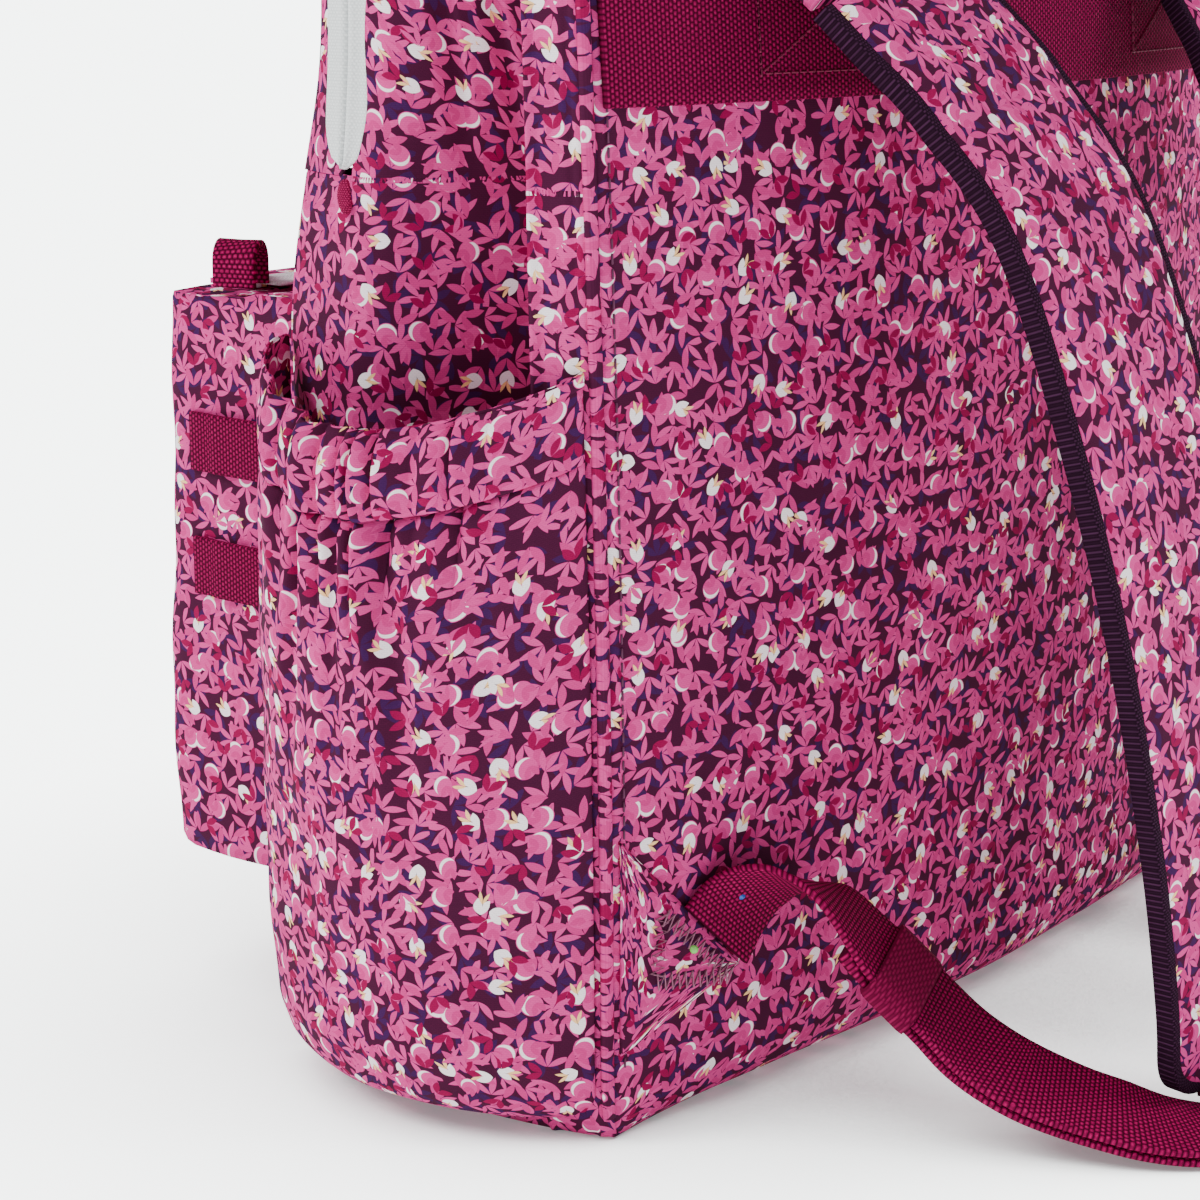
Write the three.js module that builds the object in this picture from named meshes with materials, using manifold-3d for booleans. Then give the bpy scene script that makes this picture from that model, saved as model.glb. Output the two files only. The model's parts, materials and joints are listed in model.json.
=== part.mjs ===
// School backpack: a soft printed-fabric body that stands on its base, with a zipped front that
// folds down, a bottle pocket on each side, a zipped accessory pocket in front and two shoulder
// straps. Millimetres, +Z up. X is the width, -Y the front, +Y the back panel that is worn.
// The origin is the middle of the base, on the surface that it stands on.
import * as THREE from 'three';
import { mergeVertices } from 'three/addons/utils/BufferGeometryUtils.js';
import Module from 'manifold-3d';

const wasm = await Module();
wasm.setup();

// ---------------------------------------------------------------- driving dimensions
const GAP = 0.4;                 // clearance between pieces that are sewn together
const FABRIC = 2;                // printed fabric with its lining and foam
const BODY_WIDTH = 284;          // across the back seams
const BODY_HEIGHT = 365;         // without the grab handle
const FRONT_Y = -45;             // front seam of the body
const BACK_Y = 52.5;             // back seam at the base
const BACK_LEAN = 7;             // the back seam moves forward by this much over LEAN_HEIGHT
const LEAN_HEIGHT = 256;
const BACK_BULGE = 15;           // crown of the back panel at its ends
const BACK_BELLY = 6;            // more crown half way up
const FRONT_BULGE = 6;
const SIDE_BULGE = 9;
const RECESS_DEPTH = 36;         // gusset fold that takes the inner half of a bottle
const RECESS_MIDDLE = 0.36;      // its place along the side, from the back seam
const RECESS_REACH = 0.36;
const BASE_SEAM = 20;            // height of the base panel's seam
const TOP_SEAM = 335;            // height where the top panel starts
const FLAP_SEAM = 216;           // height where the front folds down
const ZIP_Y = -27;               // plane of the main zip
const TAPE_WIDTH = 2.6;          // half of a zip, as far as it shows
const ZIP_THICK = 1.4;

const POCKET_BOTTOM = 10;
const POCKET_TOP = 174;
const POCKET_BULGE = 32;         // the bottle pocket stands out by this much
const POCKET_FLOOR = 3;
const HEM_HEIGHT = 18;           // gathered casing of the bottle pocket

const FRONT_POCKET_MARGIN = 13;  // from each corner seam of the body to the front pocket
const FRONT_POCKET_WIDTH = BODY_WIDTH - 2 * FRONT_POCKET_MARGIN;
const FRONT_POCKET_DEPTH = 62;   // from the front seam
const FRONT_POCKET_BOTTOM = 38;
const FRONT_POCKET_TOP = 184;
const FRONT_POCKET_CORNER = 14;
const MOUTH_MARGIN = 15;         // from each side of the front pocket to its zipped mouth
const MOUTH_WIDTH = FRONT_POCKET_WIDTH - 2 * MOUTH_MARGIN;
const MOUTH_FRONT = 3;           // from the front face of the pocket to the mouth strip
const POCKET_ZIP_FROM_FRONT = 23;

const WEBBING = 25;
const WEBBING_THICK = 1.6;
const TONGUE_WIDTH = 18;         // narrower tape that holds the ladder lock on the strap
const BAND_BOTTOM = 234;         // wide anchor band on the back panel
const BAND_HEIGHT = 40;
const SIDE_BAND = 15;
const SIDE_BAND_HEIGHTS = [106, 138];

const STRAP_WIDTH = 60;
const STRAP_THICK = 9;
const STRAP_END_THICK = 5;

const BOARD_MARGIN = 24;         // from each corner seam to the stiffener in the base
const BOARD = [BODY_WIDTH - 2 * BOARD_MARGIN, 68, 2.5];
const FOAM_THICK = 6;            // pad behind the back panel
const FOAM_HALF_WIDTH = 112;
const DIVIDER_MARGIN = 36;       // from each corner seam to the sleeve wall, inside the gusset folds
const DIVIDER = [BODY_WIDTH - 2 * DIVIDER_MARGIN, 2, 236];
const DIVIDER_Y = 34;

const HANDLE_SPAN = 84;          // between the middles of the two feet
const HANDLE_RISE = 36;
const HANDLE_Y = 14;
const SLIDER = [12, 9, 4];
const PULLER = [7, 24, 1.6];

// ---------------------------------------------------------------- colours
const finish = (color, roughness, metalness = 0) => ({ color, roughness, metalness });
const PRINT = finish(0xb85a8c, 0.85);
const MAGENTA = finish(0x8e1250, 0.8);
const AUBERGINE = finish(0x3a1e3f, 0.85);
const WHITE_ZIP = finish(0xe9e7ea, 0.6);
const BOARD_GREY = finish(0x4a4650, 0.8);
const FOAM = finish(0x6d5a72, 0.9);
const METAL = finish(0xc9c9cd, 0.3, 1);
const PLASTIC = finish(0x7c1147, 0.45);
const BLUE_GLASS = finish(0x1f4fa8, 0.15);
const GREEN_GLASS = finish(0x6fbf4a, 0.15);

// ---------------------------------------------------------------- solids
const backpack = new THREE.Group();

function addPart(name, geometry, look) {
  const mesh = new THREE.Mesh(geometry, new THREE.MeshStandardMaterial(look));
  mesh.name = name;
  backpack.add(mesh);
}

function toSolid(geometry) {
  const bare = geometry.clone();
  const hasSharedPoints = bare.index && !bare.attributes.normal;
  bare.deleteAttribute('normal');
  bare.deleteAttribute('uv');
  const merged = hasSharedPoints ? bare : mergeVertices(bare, 1e-4);
  const positions = new Float32Array(merged.attributes.position.array);
  const corners = new Uint32Array(merged.index.array);
  return new wasm.Manifold(new wasm.Mesh({ numProp: 3, vertProperties: positions, triVerts: corners }));
}

function toGeometry(solid) {
  const { vertProperties, triVerts } = solid.getMesh();
  const geometry = new THREE.BufferGeometry();
  geometry.setAttribute('position', new THREE.BufferAttribute(new Float32Array(vertProperties), 3));
  geometry.setIndex(new THREE.BufferAttribute(new Uint32Array(triVerts), 1));
  return geometry;
}

// A closed loft through rings that all have the same number of points.
function loft(rings) {
  const count = rings[0].length;
  const positions = rings.flat().flatMap((p) => [p.x, p.y, p.z]);
  const index = [];
  for (let level = 0; level + 1 < rings.length; level += 1) {
    for (let i = 0; i < count; i += 1) {
      const a = level * count + i;
      const b = level * count + ((i + 1) % count);
      index.push(a, b, b + count, a, b + count, a + count);
    }
  }
  const flat = (ring) => {
    const normal = new THREE.Vector3();
    ring.forEach((p, i) => normal.add(new THREE.Vector3().crossVectors(p, ring[(i + 1) % count])));
    const turn = new THREE.Quaternion().setFromUnitVectors(normal.normalize(), new THREE.Vector3(0, 0, 1));
    return ring.map((p) => p.clone().applyQuaternion(turn)).map((p) => new THREE.Vector2(p.x, p.y));
  };
  const last = (rings.length - 1) * count;
  THREE.ShapeUtils.triangulateShape(flat(rings[0]), []).forEach(([a, b, c]) => index.push(c, b, a));
  THREE.ShapeUtils.triangulateShape(flat(rings[rings.length - 1]), [])
    .forEach(([a, b, c]) => index.push(last + a, last + b, last + c));
  const geometry = new THREE.BufferGeometry();
  geometry.setAttribute('position', new THREE.BufferAttribute(new Float32Array(positions), 3));
  geometry.setIndex(index);
  return geometry;
}

function block(low, high) {
  const size = high.map((value, i) => value - low[i]);
  const box = new THREE.BoxGeometry(...size);
  box.translate(...low.map((value, i) => value + size[i] / 2));
  return box;
}

const blockSolid = (low, high) => toSolid(block(low, high));
const FAR = 300;

// ---------------------------------------------------------------- body outline
const backSeamY = (z) => BACK_Y - BACK_LEAN * (z / LEAN_HEIGHT) ** 2;
const backCrown = (z) => BACK_BULGE + BACK_BELLY * Math.sin((Math.PI * z) / BODY_HEIGHT);
const smooth = (value) => THREE.MathUtils.smoothstep(value, 0, 1);

function recessDepth(z) {
  const rise = smooth((z - 12) / 40);
  const fade = 1 - 0.7 * smooth((z - 210) / 120);
  const top = 1 - smooth((z - TOP_SEAM + 20) / 20);
  return RECESS_DEPTH * rise * fade * top;
}

function sideX(s, z) {
  const reach = Math.abs(s - RECESS_MIDDLE) / RECESS_REACH;
  const fold = reach < 1 ? Math.cos((Math.PI * reach) / 2) ** 2 : 0;
  return BODY_WIDTH / 2 + SIDE_BULGE * 4 * s * (1 - s) - recessDepth(z) * fold;
}

const BACK_STEPS = 8;
const SIDE_STEPS = 12;
const FRONT_STEPS = 5;

// Half of the outline at one height, from the middle of the back round to the middle of the front.
function halfOutline(z) {
  const seam = backSeamY(z);
  const points = [];
  for (let i = 0; i < BACK_STEPS; i += 1) {
    const t = i / BACK_STEPS;
    points.push([(BODY_WIDTH / 2) * t, seam + backCrown(z) * (1 - t * t)]);
  }
  for (let i = 0; i < SIDE_STEPS; i += 1) {
    const s = i / SIDE_STEPS;
    points.push([sideX(s, z), THREE.MathUtils.lerp(seam, FRONT_Y, s)]);
  }
  for (let i = FRONT_STEPS; i >= 0; i -= 1) {
    const t = i / FRONT_STEPS;
    points.push([(BODY_WIDTH / 2) * t, FRONT_Y - FRONT_BULGE * (1 - t * t)]);
  }
  return points;
}

// Levels of the body: height, and how far the rounded edges are drawn in along X and Y.
const BODY_LEVELS = [
  [0, 16, 12], [2, 10, 7], [6, 5, 3.5], [12, 1.5, 1], [BASE_SEAM, 0, 0], [34, 0, 0], [52, 0, 0],
  [90, 0, 0], [135, 0, 0], [180, 0, 0], [FLAP_SEAM, 0, 0], [240, 0, 0], [275, 0, 0], [310, 0, 0],
  [TOP_SEAM, 0, 0], [345, 2, 1.5], [354, 7, 5], [360, 14, 9.5], [364, 24, 15], [BODY_HEIGHT, 34, 20],
];
const MIDDLE_Y = 4;
const HALF_DEPTH = 50;

// The outline at a level, moved along its own normals by offset.
function bodyRing([z, inX, inY], offset, height) {
  const half = halfOutline(z);
  const mirrored = half.slice(1, -1).reverse().map(([x, y]) => [-x, y]);
  const outline = [...half, ...mirrored].reverse().map(([x, y]) => new THREE.Vector2(
    x * (1 - inX / (BODY_WIDTH / 2)),
    MIDDLE_Y + (y - MIDDLE_Y) * (1 - inY / HALF_DEPTH),
  ));
  return outline.map((p, i) => {
    const before = outline[(i + outline.length - 1) % outline.length];
    const after = outline[(i + 1) % outline.length];
    const along = after.clone().sub(before).normalize();
    return new THREE.Vector3(p.x + along.y * offset, p.y - along.x * offset, height);
  });
}

// The whole body as a solid, grown by offset on every side.
function bodySolid(offset) {
  const ends = [BODY_LEVELS[0], BODY_LEVELS[BODY_LEVELS.length - 1]];
  const levels = BODY_LEVELS.filter((level) => ends.includes(level)
    || (level[0] > -offset && level[0] < BODY_HEIGHT + offset));
  const rings = levels.map((level) => {
    const shift = level === ends[0] ? -offset : (level === ends[1] ? offset : 0);
    return bodyRing(level, offset, level[0] + shift);
  });
  return toSolid(loft(rings));
}

// Everything between two surfaces y = low(z) and y = high(z), over a range of heights.
function slab(low, high, zLow, zHigh) {
  const steps = 12;
  const rings = [];
  for (let i = 0; i <= steps; i += 1) {
    const z = THREE.MathUtils.lerp(zLow, zHigh, i / steps);
    rings.push([
      new THREE.Vector3(-FAR, low(z), z), new THREE.Vector3(FAR, low(z), z),
      new THREE.Vector3(FAR, high(z), z), new THREE.Vector3(-FAR, high(z), z),
    ]);
  }
  return toSolid(loft(rings));
}

const bodyOuter = bodySolid(0);
const bodyClear = bodySolid(GAP);
const bodyShell = bodyOuter.subtract(bodySolid(-FABRIC));
const frontOf = () => -FAR;
const behind = () => FAR;
const rightHalf = blockSolid([0, -FAR, -FAR], [FAR, FAR, 2 * FAR]);
const leftHalf = blockSolid([-FAR, -FAR, -FAR], [0, FAR, 2 * FAR]);
const SIDES = [['right', rightHalf, 1], ['left', leftHalf, -1]];
const backEdge = (z) => backSeamY(z) - 3;
const REAR_TAPE_EDGE = ZIP_Y + GAP / 2 + TAPE_WIDTH;
const FRONT_TAPE_EDGE = ZIP_Y - GAP / 2 - TAPE_WIDTH;
const BODY_FRONT_EDGE = FRONT_Y + 3;

function addBody() {
  addPart('base_panel', toGeometry(bodyShell.intersect(
    slab(frontOf, behind, -5, BASE_SEAM - GAP))), PRINT);
  addPart('back_panel', toGeometry(bodyShell.intersect(
    slab((z) => backEdge(z) + GAP, behind, BASE_SEAM, TOP_SEAM - GAP))), PRINT);
  addPart('top_panel', toGeometry(bodyShell.intersect(
    slab(() => REAR_TAPE_EDGE + GAP, behind, TOP_SEAM, BODY_HEIGHT + 5))), PRINT);
  addPart('front_panel', toGeometry(bodyShell.intersect(
    slab(frontOf, () => BODY_FRONT_EDGE - GAP, BASE_SEAM, FLAP_SEAM - GAP))), PRINT);
  addPart('front_flap', toGeometry(bodyShell.intersect(
    slab(frontOf, () => FRONT_TAPE_EDGE - GAP, FLAP_SEAM, BODY_HEIGHT + 5))), PRINT);
  const lower = slab(() => BODY_FRONT_EDGE, backEdge, BASE_SEAM, FLAP_SEAM - GAP);
  const upper = slab(() => REAR_TAPE_EDGE + GAP, backEdge, FLAP_SEAM - 2 * GAP, TOP_SEAM - GAP);
  for (const [name, half] of SIDES) {
    addPart(`side_panel_${name}`, toGeometry(bodyShell.intersect(lower.add(upper)).intersect(half)), PRINT);
  }
}

function addMainZip() {
  const tapeShell = bodyOuter.subtract(bodySolid(-ZIP_THICK));
  const above = FLAP_SEAM + GAP;
  addPart('main_zip_tape_front', toGeometry(tapeShell.intersect(
    slab(() => FRONT_TAPE_EDGE, () => ZIP_Y - GAP / 2, above, BODY_HEIGHT + 5))), WHITE_ZIP);
  addPart('main_zip_tape_rear', toGeometry(tapeShell.intersect(
    slab(() => ZIP_Y + GAP / 2, () => REAR_TAPE_EDGE, above, BODY_HEIGHT + 5))), WHITE_ZIP);
  const stopShell = bodySolid(GAP + 1.4).subtract(bodyClear);
  const stop = blockSolid([0, ZIP_Y - 2.5, FLAP_SEAM - 11], [FAR, ZIP_Y + 2.5, FLAP_SEAM - 1]);
  for (const [name, , sign] of SIDES) {
    const place = sign > 0 ? stop : stop.mirror([1, 0, 0]);
    addPart(`zip_bartack_${name}`, toGeometry(stopShell.intersect(place)), MAGENTA);
  }
}

// A rounded slider body, long along X, standing on the height z.
function sliderGeometry(x, y, z) {
  const [length, width, height] = SLIDER;
  const shape = new THREE.Shape();
  shape.moveTo(-length / 2, -width / 2 + 2);
  shape.lineTo(-length / 2 + 2, -width / 2);
  shape.lineTo(length / 2 - 3, -width / 2 + 1.5);
  shape.lineTo(length / 2, -1.5);
  shape.lineTo(length / 2, 1.5);
  shape.lineTo(length / 2 - 3, width / 2 - 1.5);
  shape.lineTo(-length / 2 + 2, width / 2);
  shape.lineTo(-length / 2, width / 2 - 2);
  const body = new THREE.ExtrudeGeometry(shape, { depth: height, bevelEnabled: false });
  body.translate(x, y, z);
  return body;
}

// A flat pull tab lying on top of its slider, hinged at the slider's end.
function pullerGeometry(x, y, z, direction) {
  const [width, length, thick] = PULLER;
  const shape = new THREE.Shape();
  shape.moveTo(0, -width / 2);
  shape.lineTo(length - width / 2, -width / 2);
  shape.absarc(length - width / 2, 0, width / 2, -Math.PI / 2, Math.PI / 2, false);
  shape.lineTo(0, width / 2);
  const hole = new THREE.Path();
  hole.absarc(length - width / 2, 0, width / 4, 0, 2 * Math.PI, true);
  shape.holes.push(hole);
  const tab = new THREE.ExtrudeGeometry(shape, { depth: thick, bevelEnabled: false, curveSegments: 6 });
  if (direction < 0) {
    tab.rotateZ(Math.PI);
  }
  tab.translate(x, y, z);
  return tab;
}

const MAIN_SLIDER_X = 22;
const SLIDER_LIFT = 1;           // lets the flap's edge pass under the sliders
const MAIN_SLIDER_Z = BODY_HEIGHT + SLIDER_LIFT;
const PULLER_START = SLIDER[0] / 2 - 5;

function addMainSliders() {
  for (const [name, , sign] of SIDES) {
    const x = sign * MAIN_SLIDER_X;
    addPart(`main_slider_${name}`, sliderGeometry(x, ZIP_Y, MAIN_SLIDER_Z), METAL);
    addPart(`main_puller_${name}`,
      pullerGeometry(x + sign * PULLER_START, ZIP_Y, MAIN_SLIDER_Z + SLIDER[2] + GAP, sign), METAL);
  }
}

// ---------------------------------------------------------------- inside pieces
function addInside() {
  addPart('base_board', block(
    [-BOARD[0] / 2, MIDDLE_Y - BOARD[1] / 2, FABRIC + GAP],
    [BOARD[0] / 2, MIDDLE_Y + BOARD[1] / 2, FABRIC + GAP + BOARD[2]]), BOARD_GREY);
  const core = bodySolid(-FABRIC - GAP);
  const reach = blockSolid([-FOAM_HALF_WIDTH, DIVIDER_Y + DIVIDER[1] + GAP, BASE_SEAM + 10],
    [FOAM_HALF_WIDTH, FAR, TOP_SEAM - 15]);
  addPart('back_foam', toGeometry(core.subtract(core.translate([0, -FOAM_THICK, 0])).intersect(reach)), FOAM);
  addPart('sleeve_divider', block(
    [-DIVIDER[0] / 2, DIVIDER_Y, FABRIC + BOARD[2] + 2 * GAP],
    [DIVIDER[0] / 2, DIVIDER_Y + DIVIDER[1], FABRIC + BOARD[2] + DIVIDER[2]]), AUBERGINE);
}

// ---------------------------------------------------------------- bottle pockets
const POCKET_LEVELS = [[POCKET_BOTTOM, 0.42], [22, 0.66], [45, 0.86], [80, 0.98], [115, 1],
  [145, 0.95], [POCKET_TOP - HEM_HEIGHT, 0.92], [POCKET_TOP, 0.86]];
const POCKET_STEPS = 12;
const POCKET_ROOT = 20;          // how far inside the body outline the pocket's plan starts

function pocketSolid(inset, zShift, levels) {
  const rings = levels.map(([z, share]) => {
    const seam = backSeamY(z) - GAP - inset;
    const front = FRONT_Y + 1 + inset;
    const edge = BODY_WIDTH / 2 + 2 - inset;
    const ring = [new THREE.Vector3(edge - POCKET_ROOT, front, z + zShift)];
    for (let i = 0; i <= POCKET_STEPS; i += 1) {
      const s = i / POCKET_STEPS;
      const swell = POCKET_BULGE * share * Math.sin(Math.PI * s) ** 0.75;
      ring.push(new THREE.Vector3(edge + swell, THREE.MathUtils.lerp(front, seam, s), z + zShift));
    }
    ring.push(new THREE.Vector3(edge - POCKET_ROOT, seam, z + zShift));
    return ring;
  });
  return toSolid(loft(rings));
}

function addBottlePockets() {
  const outer = pocketSolid(0, 0, POCKET_LEVELS);
  const innerLevels = POCKET_LEVELS.map(([z, share], i) => {
    const ends = i === 0 ? POCKET_FLOOR : (i === POCKET_LEVELS.length - 1 ? 5 : 0);
    return [z + ends, share];
  });
  const whole = outer.subtract(pocketSolid(FABRIC, 0, innerLevels)).subtract(bodyClear);
  const split = POCKET_TOP - HEM_HEIGHT;
  const wall = whole.intersect(blockSolid([0, -FAR, 0], [FAR, FAR, split - GAP / 2]));
  const hem = whole.intersect(blockSolid([0, -FAR, split + GAP / 2], [FAR, FAR, FAR]));
  for (const [name, , sign] of SIDES) {
    const turned = (solid) => toGeometry(sign > 0 ? solid : solid.mirror([1, 0, 0]));
    addPart(`bottle_pocket_${name}`, turned(wall), PRINT);
    addPart(`pocket_hem_${name}`, turned(hem), PRINT);
  }
}

// ---------------------------------------------------------------- front pocket
const FRONT_FACE = FRONT_Y - FRONT_POCKET_DEPTH;
const POCKET_ZIP_Y = FRONT_FACE + POCKET_ZIP_FROM_FRONT;

function frontPocketSolid(inset) {
  const half = FRONT_POCKET_WIDTH / 2 - inset;
  const round = FRONT_POCKET_CORNER - inset;
  const front = FRONT_FACE + inset;
  const ring = (z, drawIn) => {
    const points = [new THREE.Vector3(half - drawIn, FRONT_Y + 10, z), new THREE.Vector3(-half + drawIn, FRONT_Y + 10, z)];
    for (const [sign, from] of [[-1, 0], [1, 1]]) {
      for (let i = 0; i <= 4; i += 1) {
        const turn = ((from ? 4 - i : i) / 4) * (Math.PI / 2);
        points.push(new THREE.Vector3(sign * (half - drawIn - round * (1 - Math.cos(turn))),
          front + drawIn + round * (1 - Math.sin(turn)), z));
      }
    }
    return points;
  };
  const low = FRONT_POCKET_BOTTOM + inset;
  const high = FRONT_POCKET_TOP - inset;
  return toSolid(loft([ring(low, 8), ring(low + 3, 3), ring(low + 10, 0), ring(high - 8, 0),
    ring(high - 2, 1), ring(high, 2.5)]));
}

function addFrontPocket() {
  const outer = frontPocketSolid(0).subtract(bodyClear);
  const shell = outer.subtract(frontPocketSolid(FABRIC));
  const deep = FRONT_POCKET_TOP - 4;
  const mouthFront = FRONT_FACE + MOUTH_FRONT;
  const tapeFront = POCKET_ZIP_Y - GAP / 2 - TAPE_WIDTH;
  const tapeRear = POCKET_ZIP_Y + GAP / 2 + TAPE_WIDTH;
  const half = MOUTH_WIDTH / 2;
  const cut = blockSolid([-half, mouthFront, deep], [half, tapeRear + GAP, FAR]);
  addPart('front_pocket', toGeometry(shell.subtract(cut)), PRINT);
  const inner = half - GAP;
  addPart('front_pocket_mouth', toGeometry(shell.intersect(
    blockSolid([-inner, mouthFront + GAP, deep], [inner, tapeFront - GAP, FAR]))), PRINT);
  const tape = (low, high) => block([-inner, low, FRONT_POCKET_TOP - ZIP_THICK], [inner, high, FRONT_POCKET_TOP]);
  addPart('pocket_zip_tape_front', tape(tapeFront, POCKET_ZIP_Y - GAP / 2), WHITE_ZIP);
  addPart('pocket_zip_tape_rear', tape(POCKET_ZIP_Y + GAP / 2, tapeRear), WHITE_ZIP);
  addPart('pocket_slider', sliderGeometry(-half + 26, POCKET_ZIP_Y, FRONT_POCKET_TOP + GAP), METAL);
  addPart('pocket_puller', pullerGeometry(-half + 26 + PULLER_START, POCKET_ZIP_Y,
    FRONT_POCKET_TOP + SLIDER[2] + 2 * GAP, 1), METAL);
}

const LOOP_LENGTH = 12;          // folded loops over both ends of the pocket zip
const LOOP_HEIGHT = 11;
const LOOP_DEPTH = 12;

function addPocketTrim() {
  const middle = MOUTH_WIDTH / 2 + LOOP_LENGTH / 2 + 1;
  for (const [name, , sign] of SIDES) {
    const shape = new THREE.Shape();
    shape.moveTo(-LOOP_LENGTH / 2, 0);
    shape.lineTo(LOOP_LENGTH / 2, 0);
    shape.lineTo(LOOP_LENGTH / 2, LOOP_HEIGHT - LOOP_LENGTH / 2);
    shape.absarc(0, LOOP_HEIGHT - LOOP_LENGTH / 2, LOOP_LENGTH / 2, 0, Math.PI, false);
    const hole = new THREE.Path();
    hole.moveTo(-LOOP_LENGTH / 2 + WEBBING_THICK, WEBBING_THICK);
    hole.lineTo(-LOOP_LENGTH / 2 + WEBBING_THICK, LOOP_HEIGHT - LOOP_LENGTH / 2);
    hole.absarc(0, LOOP_HEIGHT - LOOP_LENGTH / 2, LOOP_LENGTH / 2 - WEBBING_THICK, Math.PI, 0, true);
    hole.lineTo(LOOP_LENGTH / 2 - WEBBING_THICK, WEBBING_THICK);
    shape.holes.push(hole);
    const loop = new THREE.ExtrudeGeometry(shape, { depth: LOOP_DEPTH, bevelEnabled: false, curveSegments: 8 });
    loop.rotateX(Math.PI / 2);
    loop.translate(sign * middle, POCKET_ZIP_Y + LOOP_DEPTH / 2, FRONT_POCKET_TOP + GAP);
    addPart(`zip_loop_${name}`, loop, MAGENTA);
    const inner = FRONT_POCKET_WIDTH / 2 + GAP;
    for (const [i, low] of SIDE_BAND_HEIGHTS.entries()) {
      const xs = [sign * inner, sign * (inner + WEBBING_THICK)].sort((a, b) => a - b);
      addPart(`side_band_${i ? 'upper' : 'lower'}_${name}`, block(
        [xs[0], FRONT_FACE + FRONT_POCKET_CORNER, low],
        [xs[1], FRONT_Y - 2, low + SIDE_BAND]), MAGENTA);
    }
  }
}

// ---------------------------------------------------------------- trim on the back panel
function addBackTrim() {
  const skin = bodySolid(GAP + WEBBING_THICK).subtract(bodyClear);
  addPart('strap_band', toGeometry(skin.intersect(
    slab((z) => backSeamY(z) + 3, behind, BAND_BOTTOM, BAND_BOTTOM + BAND_HEIGHT))), MAGENTA);
  const corner = new THREE.Shape([[139, 73], [121, 54], [104, 36], [139, 22]]
    .map(([x, z]) => new THREE.Vector2(x, z)));
  const prism = new THREE.ExtrudeGeometry(corner, { depth: 60, bevelEnabled: false });
  prism.rotateX(Math.PI / 2);
  prism.translate(0, 90, 0);
  const tab = skin.intersect(toSolid(prism)).intersect(slab((z) => backSeamY(z) + 2, behind, 0, 100));
  for (const [name, , sign] of SIDES) {
    addPart(`strap_tab_${name}`, toGeometry(sign > 0 ? tab : tab.mirror([1, 0, 0])), PRINT);
    const welt = sweep(weltPath(), 3, 3);
    addPart(`seam_welt_${name}`, sign > 0 ? welt : mirrorX(welt), PRINT);
  }
}

function weltPath() {
  const heights = [12, 60, 110, 160, 210, 260, 300, TOP_SEAM - 3];
  return heights.map((z) => ({
    at: new THREE.Vector3(BODY_WIDTH / 2 + 2.1, backSeamY(z) + 2.1, z),
    across: new THREE.Vector3(1, 0, 0),
  }));
}

function mirrorX(geometry) {
  return toGeometry(toSolid(geometry).mirror([1, 0, 0]));
}

// ---------------------------------------------------------------- straps and webbing
// A flat section carried along a route. Each stop has a place and the direction across the strip.
// Width and thickness may change along it.
function sweep(route, width, thick) {
  const at = (value, i) => (typeof value === 'function' ? value(i / (route.length - 1)) : value);
  const rings = route.map((stop, i) => {
    const before = route[Math.max(i - 1, 0)].at;
    const after = route[Math.min(i + 1, route.length - 1)].at;
    const along = after.clone().sub(before).normalize();
    const across = stop.across.clone().addScaledVector(along, -stop.across.dot(along)).normalize();
    const up = new THREE.Vector3().crossVectors(along, across);
    const w = at(width, i) / 2;
    const t = at(thick, i) / 2;
    return [[-w, -t], [w, -t], [w, t], [-w, t]].map(([u, v]) => stop.at.clone()
      .addScaledVector(across, u).addScaledVector(up, v));
  });
  return loft(rings);
}

// Spreads stops evenly along a smooth curve through hand-chosen stops.
function smoothRoute(stops, count) {
  const curve = new THREE.CatmullRomCurve3(stops.map((stop) => new THREE.Vector3(...stop[0])), false, 'centripetal');
  const turn = new THREE.CatmullRomCurve3(stops.map((stop) => new THREE.Vector3(...stop[1])), false, 'centripetal');
  return Array.from({ length: count + 1 }, (_, i) => ({
    at: curve.getPoint(i / count),
    across: turn.getPoint(i / count),
  }));
}

// Middle of the shoulder strap's thickness, and its direction across.
const STRAP_STOPS = [
  [[73.5, 75, 260.5], [-1, 0.1, 0]],
  [[70, 84, 250], [-1, 0.07, 0]],
  [[64, 97, 234.5], [-1, 0.03, 0]],
  [[56.5, 114, 208], [-1, 0, 0]],
  [[51, 129, 165], [-1, 0, 0]],
  [[45.5, 140.5, 118], [-1, 0, 0]],
  [[41, 146.5, 74], [-1, 0, 0]],
  [[37, 148.5, 34], [-1, 0, 0]],
  [[35, 147.5, 11], [-1, 0, 0]],
];
// The webbing from the corner tab to the ladder lock.
const WEBBING_STOPS = [
  [[110.8, 66.2, 49.4], [-0.7, 0.06, -0.7]],
  [[107.4, 67.4, 53.4], [-0.71, 0.0, -0.7]],
  [[104.2, 68.8, 56.2], [-0.76, -0.12, -0.64]],
  [[101.2, 72.6, 58.2], [-0.81, -0.27, -0.53]],
  [[98.6, 78, 57.5], [-0.86, -0.4, -0.31]],
  [[96.5, 83.5, 54.3], [-0.91, -0.39, -0.11]],
  [[92.9, 92, 44.2], [-0.93, -0.32, 0.19]],
  [[89.5, 98.2, 37.2], [-0.93, -0.32, 0.19]],
  [[86.1, 104.4, 30.2], [-0.93, -0.32, 0.19]],
  [[82.8, 112, 22.8], [-0.96, -0.24, 0.17]],
  [[79.4, 122.3, 17.2], [-0.98, -0.15, 0.14]],
  [[73.4, 132.6, 12.5], [-0.96, -0.22, 0.14]],
  [[67.5, 142.5, 9.3], [-0.93, -0.32, 0.14]],
  [[60.8, 150.5, 6.5], [-0.86, -0.5, 0.1]],
  [[53.8, 157, 4.9], [-0.76, -0.65, 0.05]],
  [[47, 162.3, 4.2], [-0.68, -0.73, 0]],
  [[41, 166.6, 4.1], [-0.64, -0.77, 0]],
];
const WEBBING_STEPS = 45;
const TAIL_START = 21;           // steps of the webbing that the free end runs beside
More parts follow.
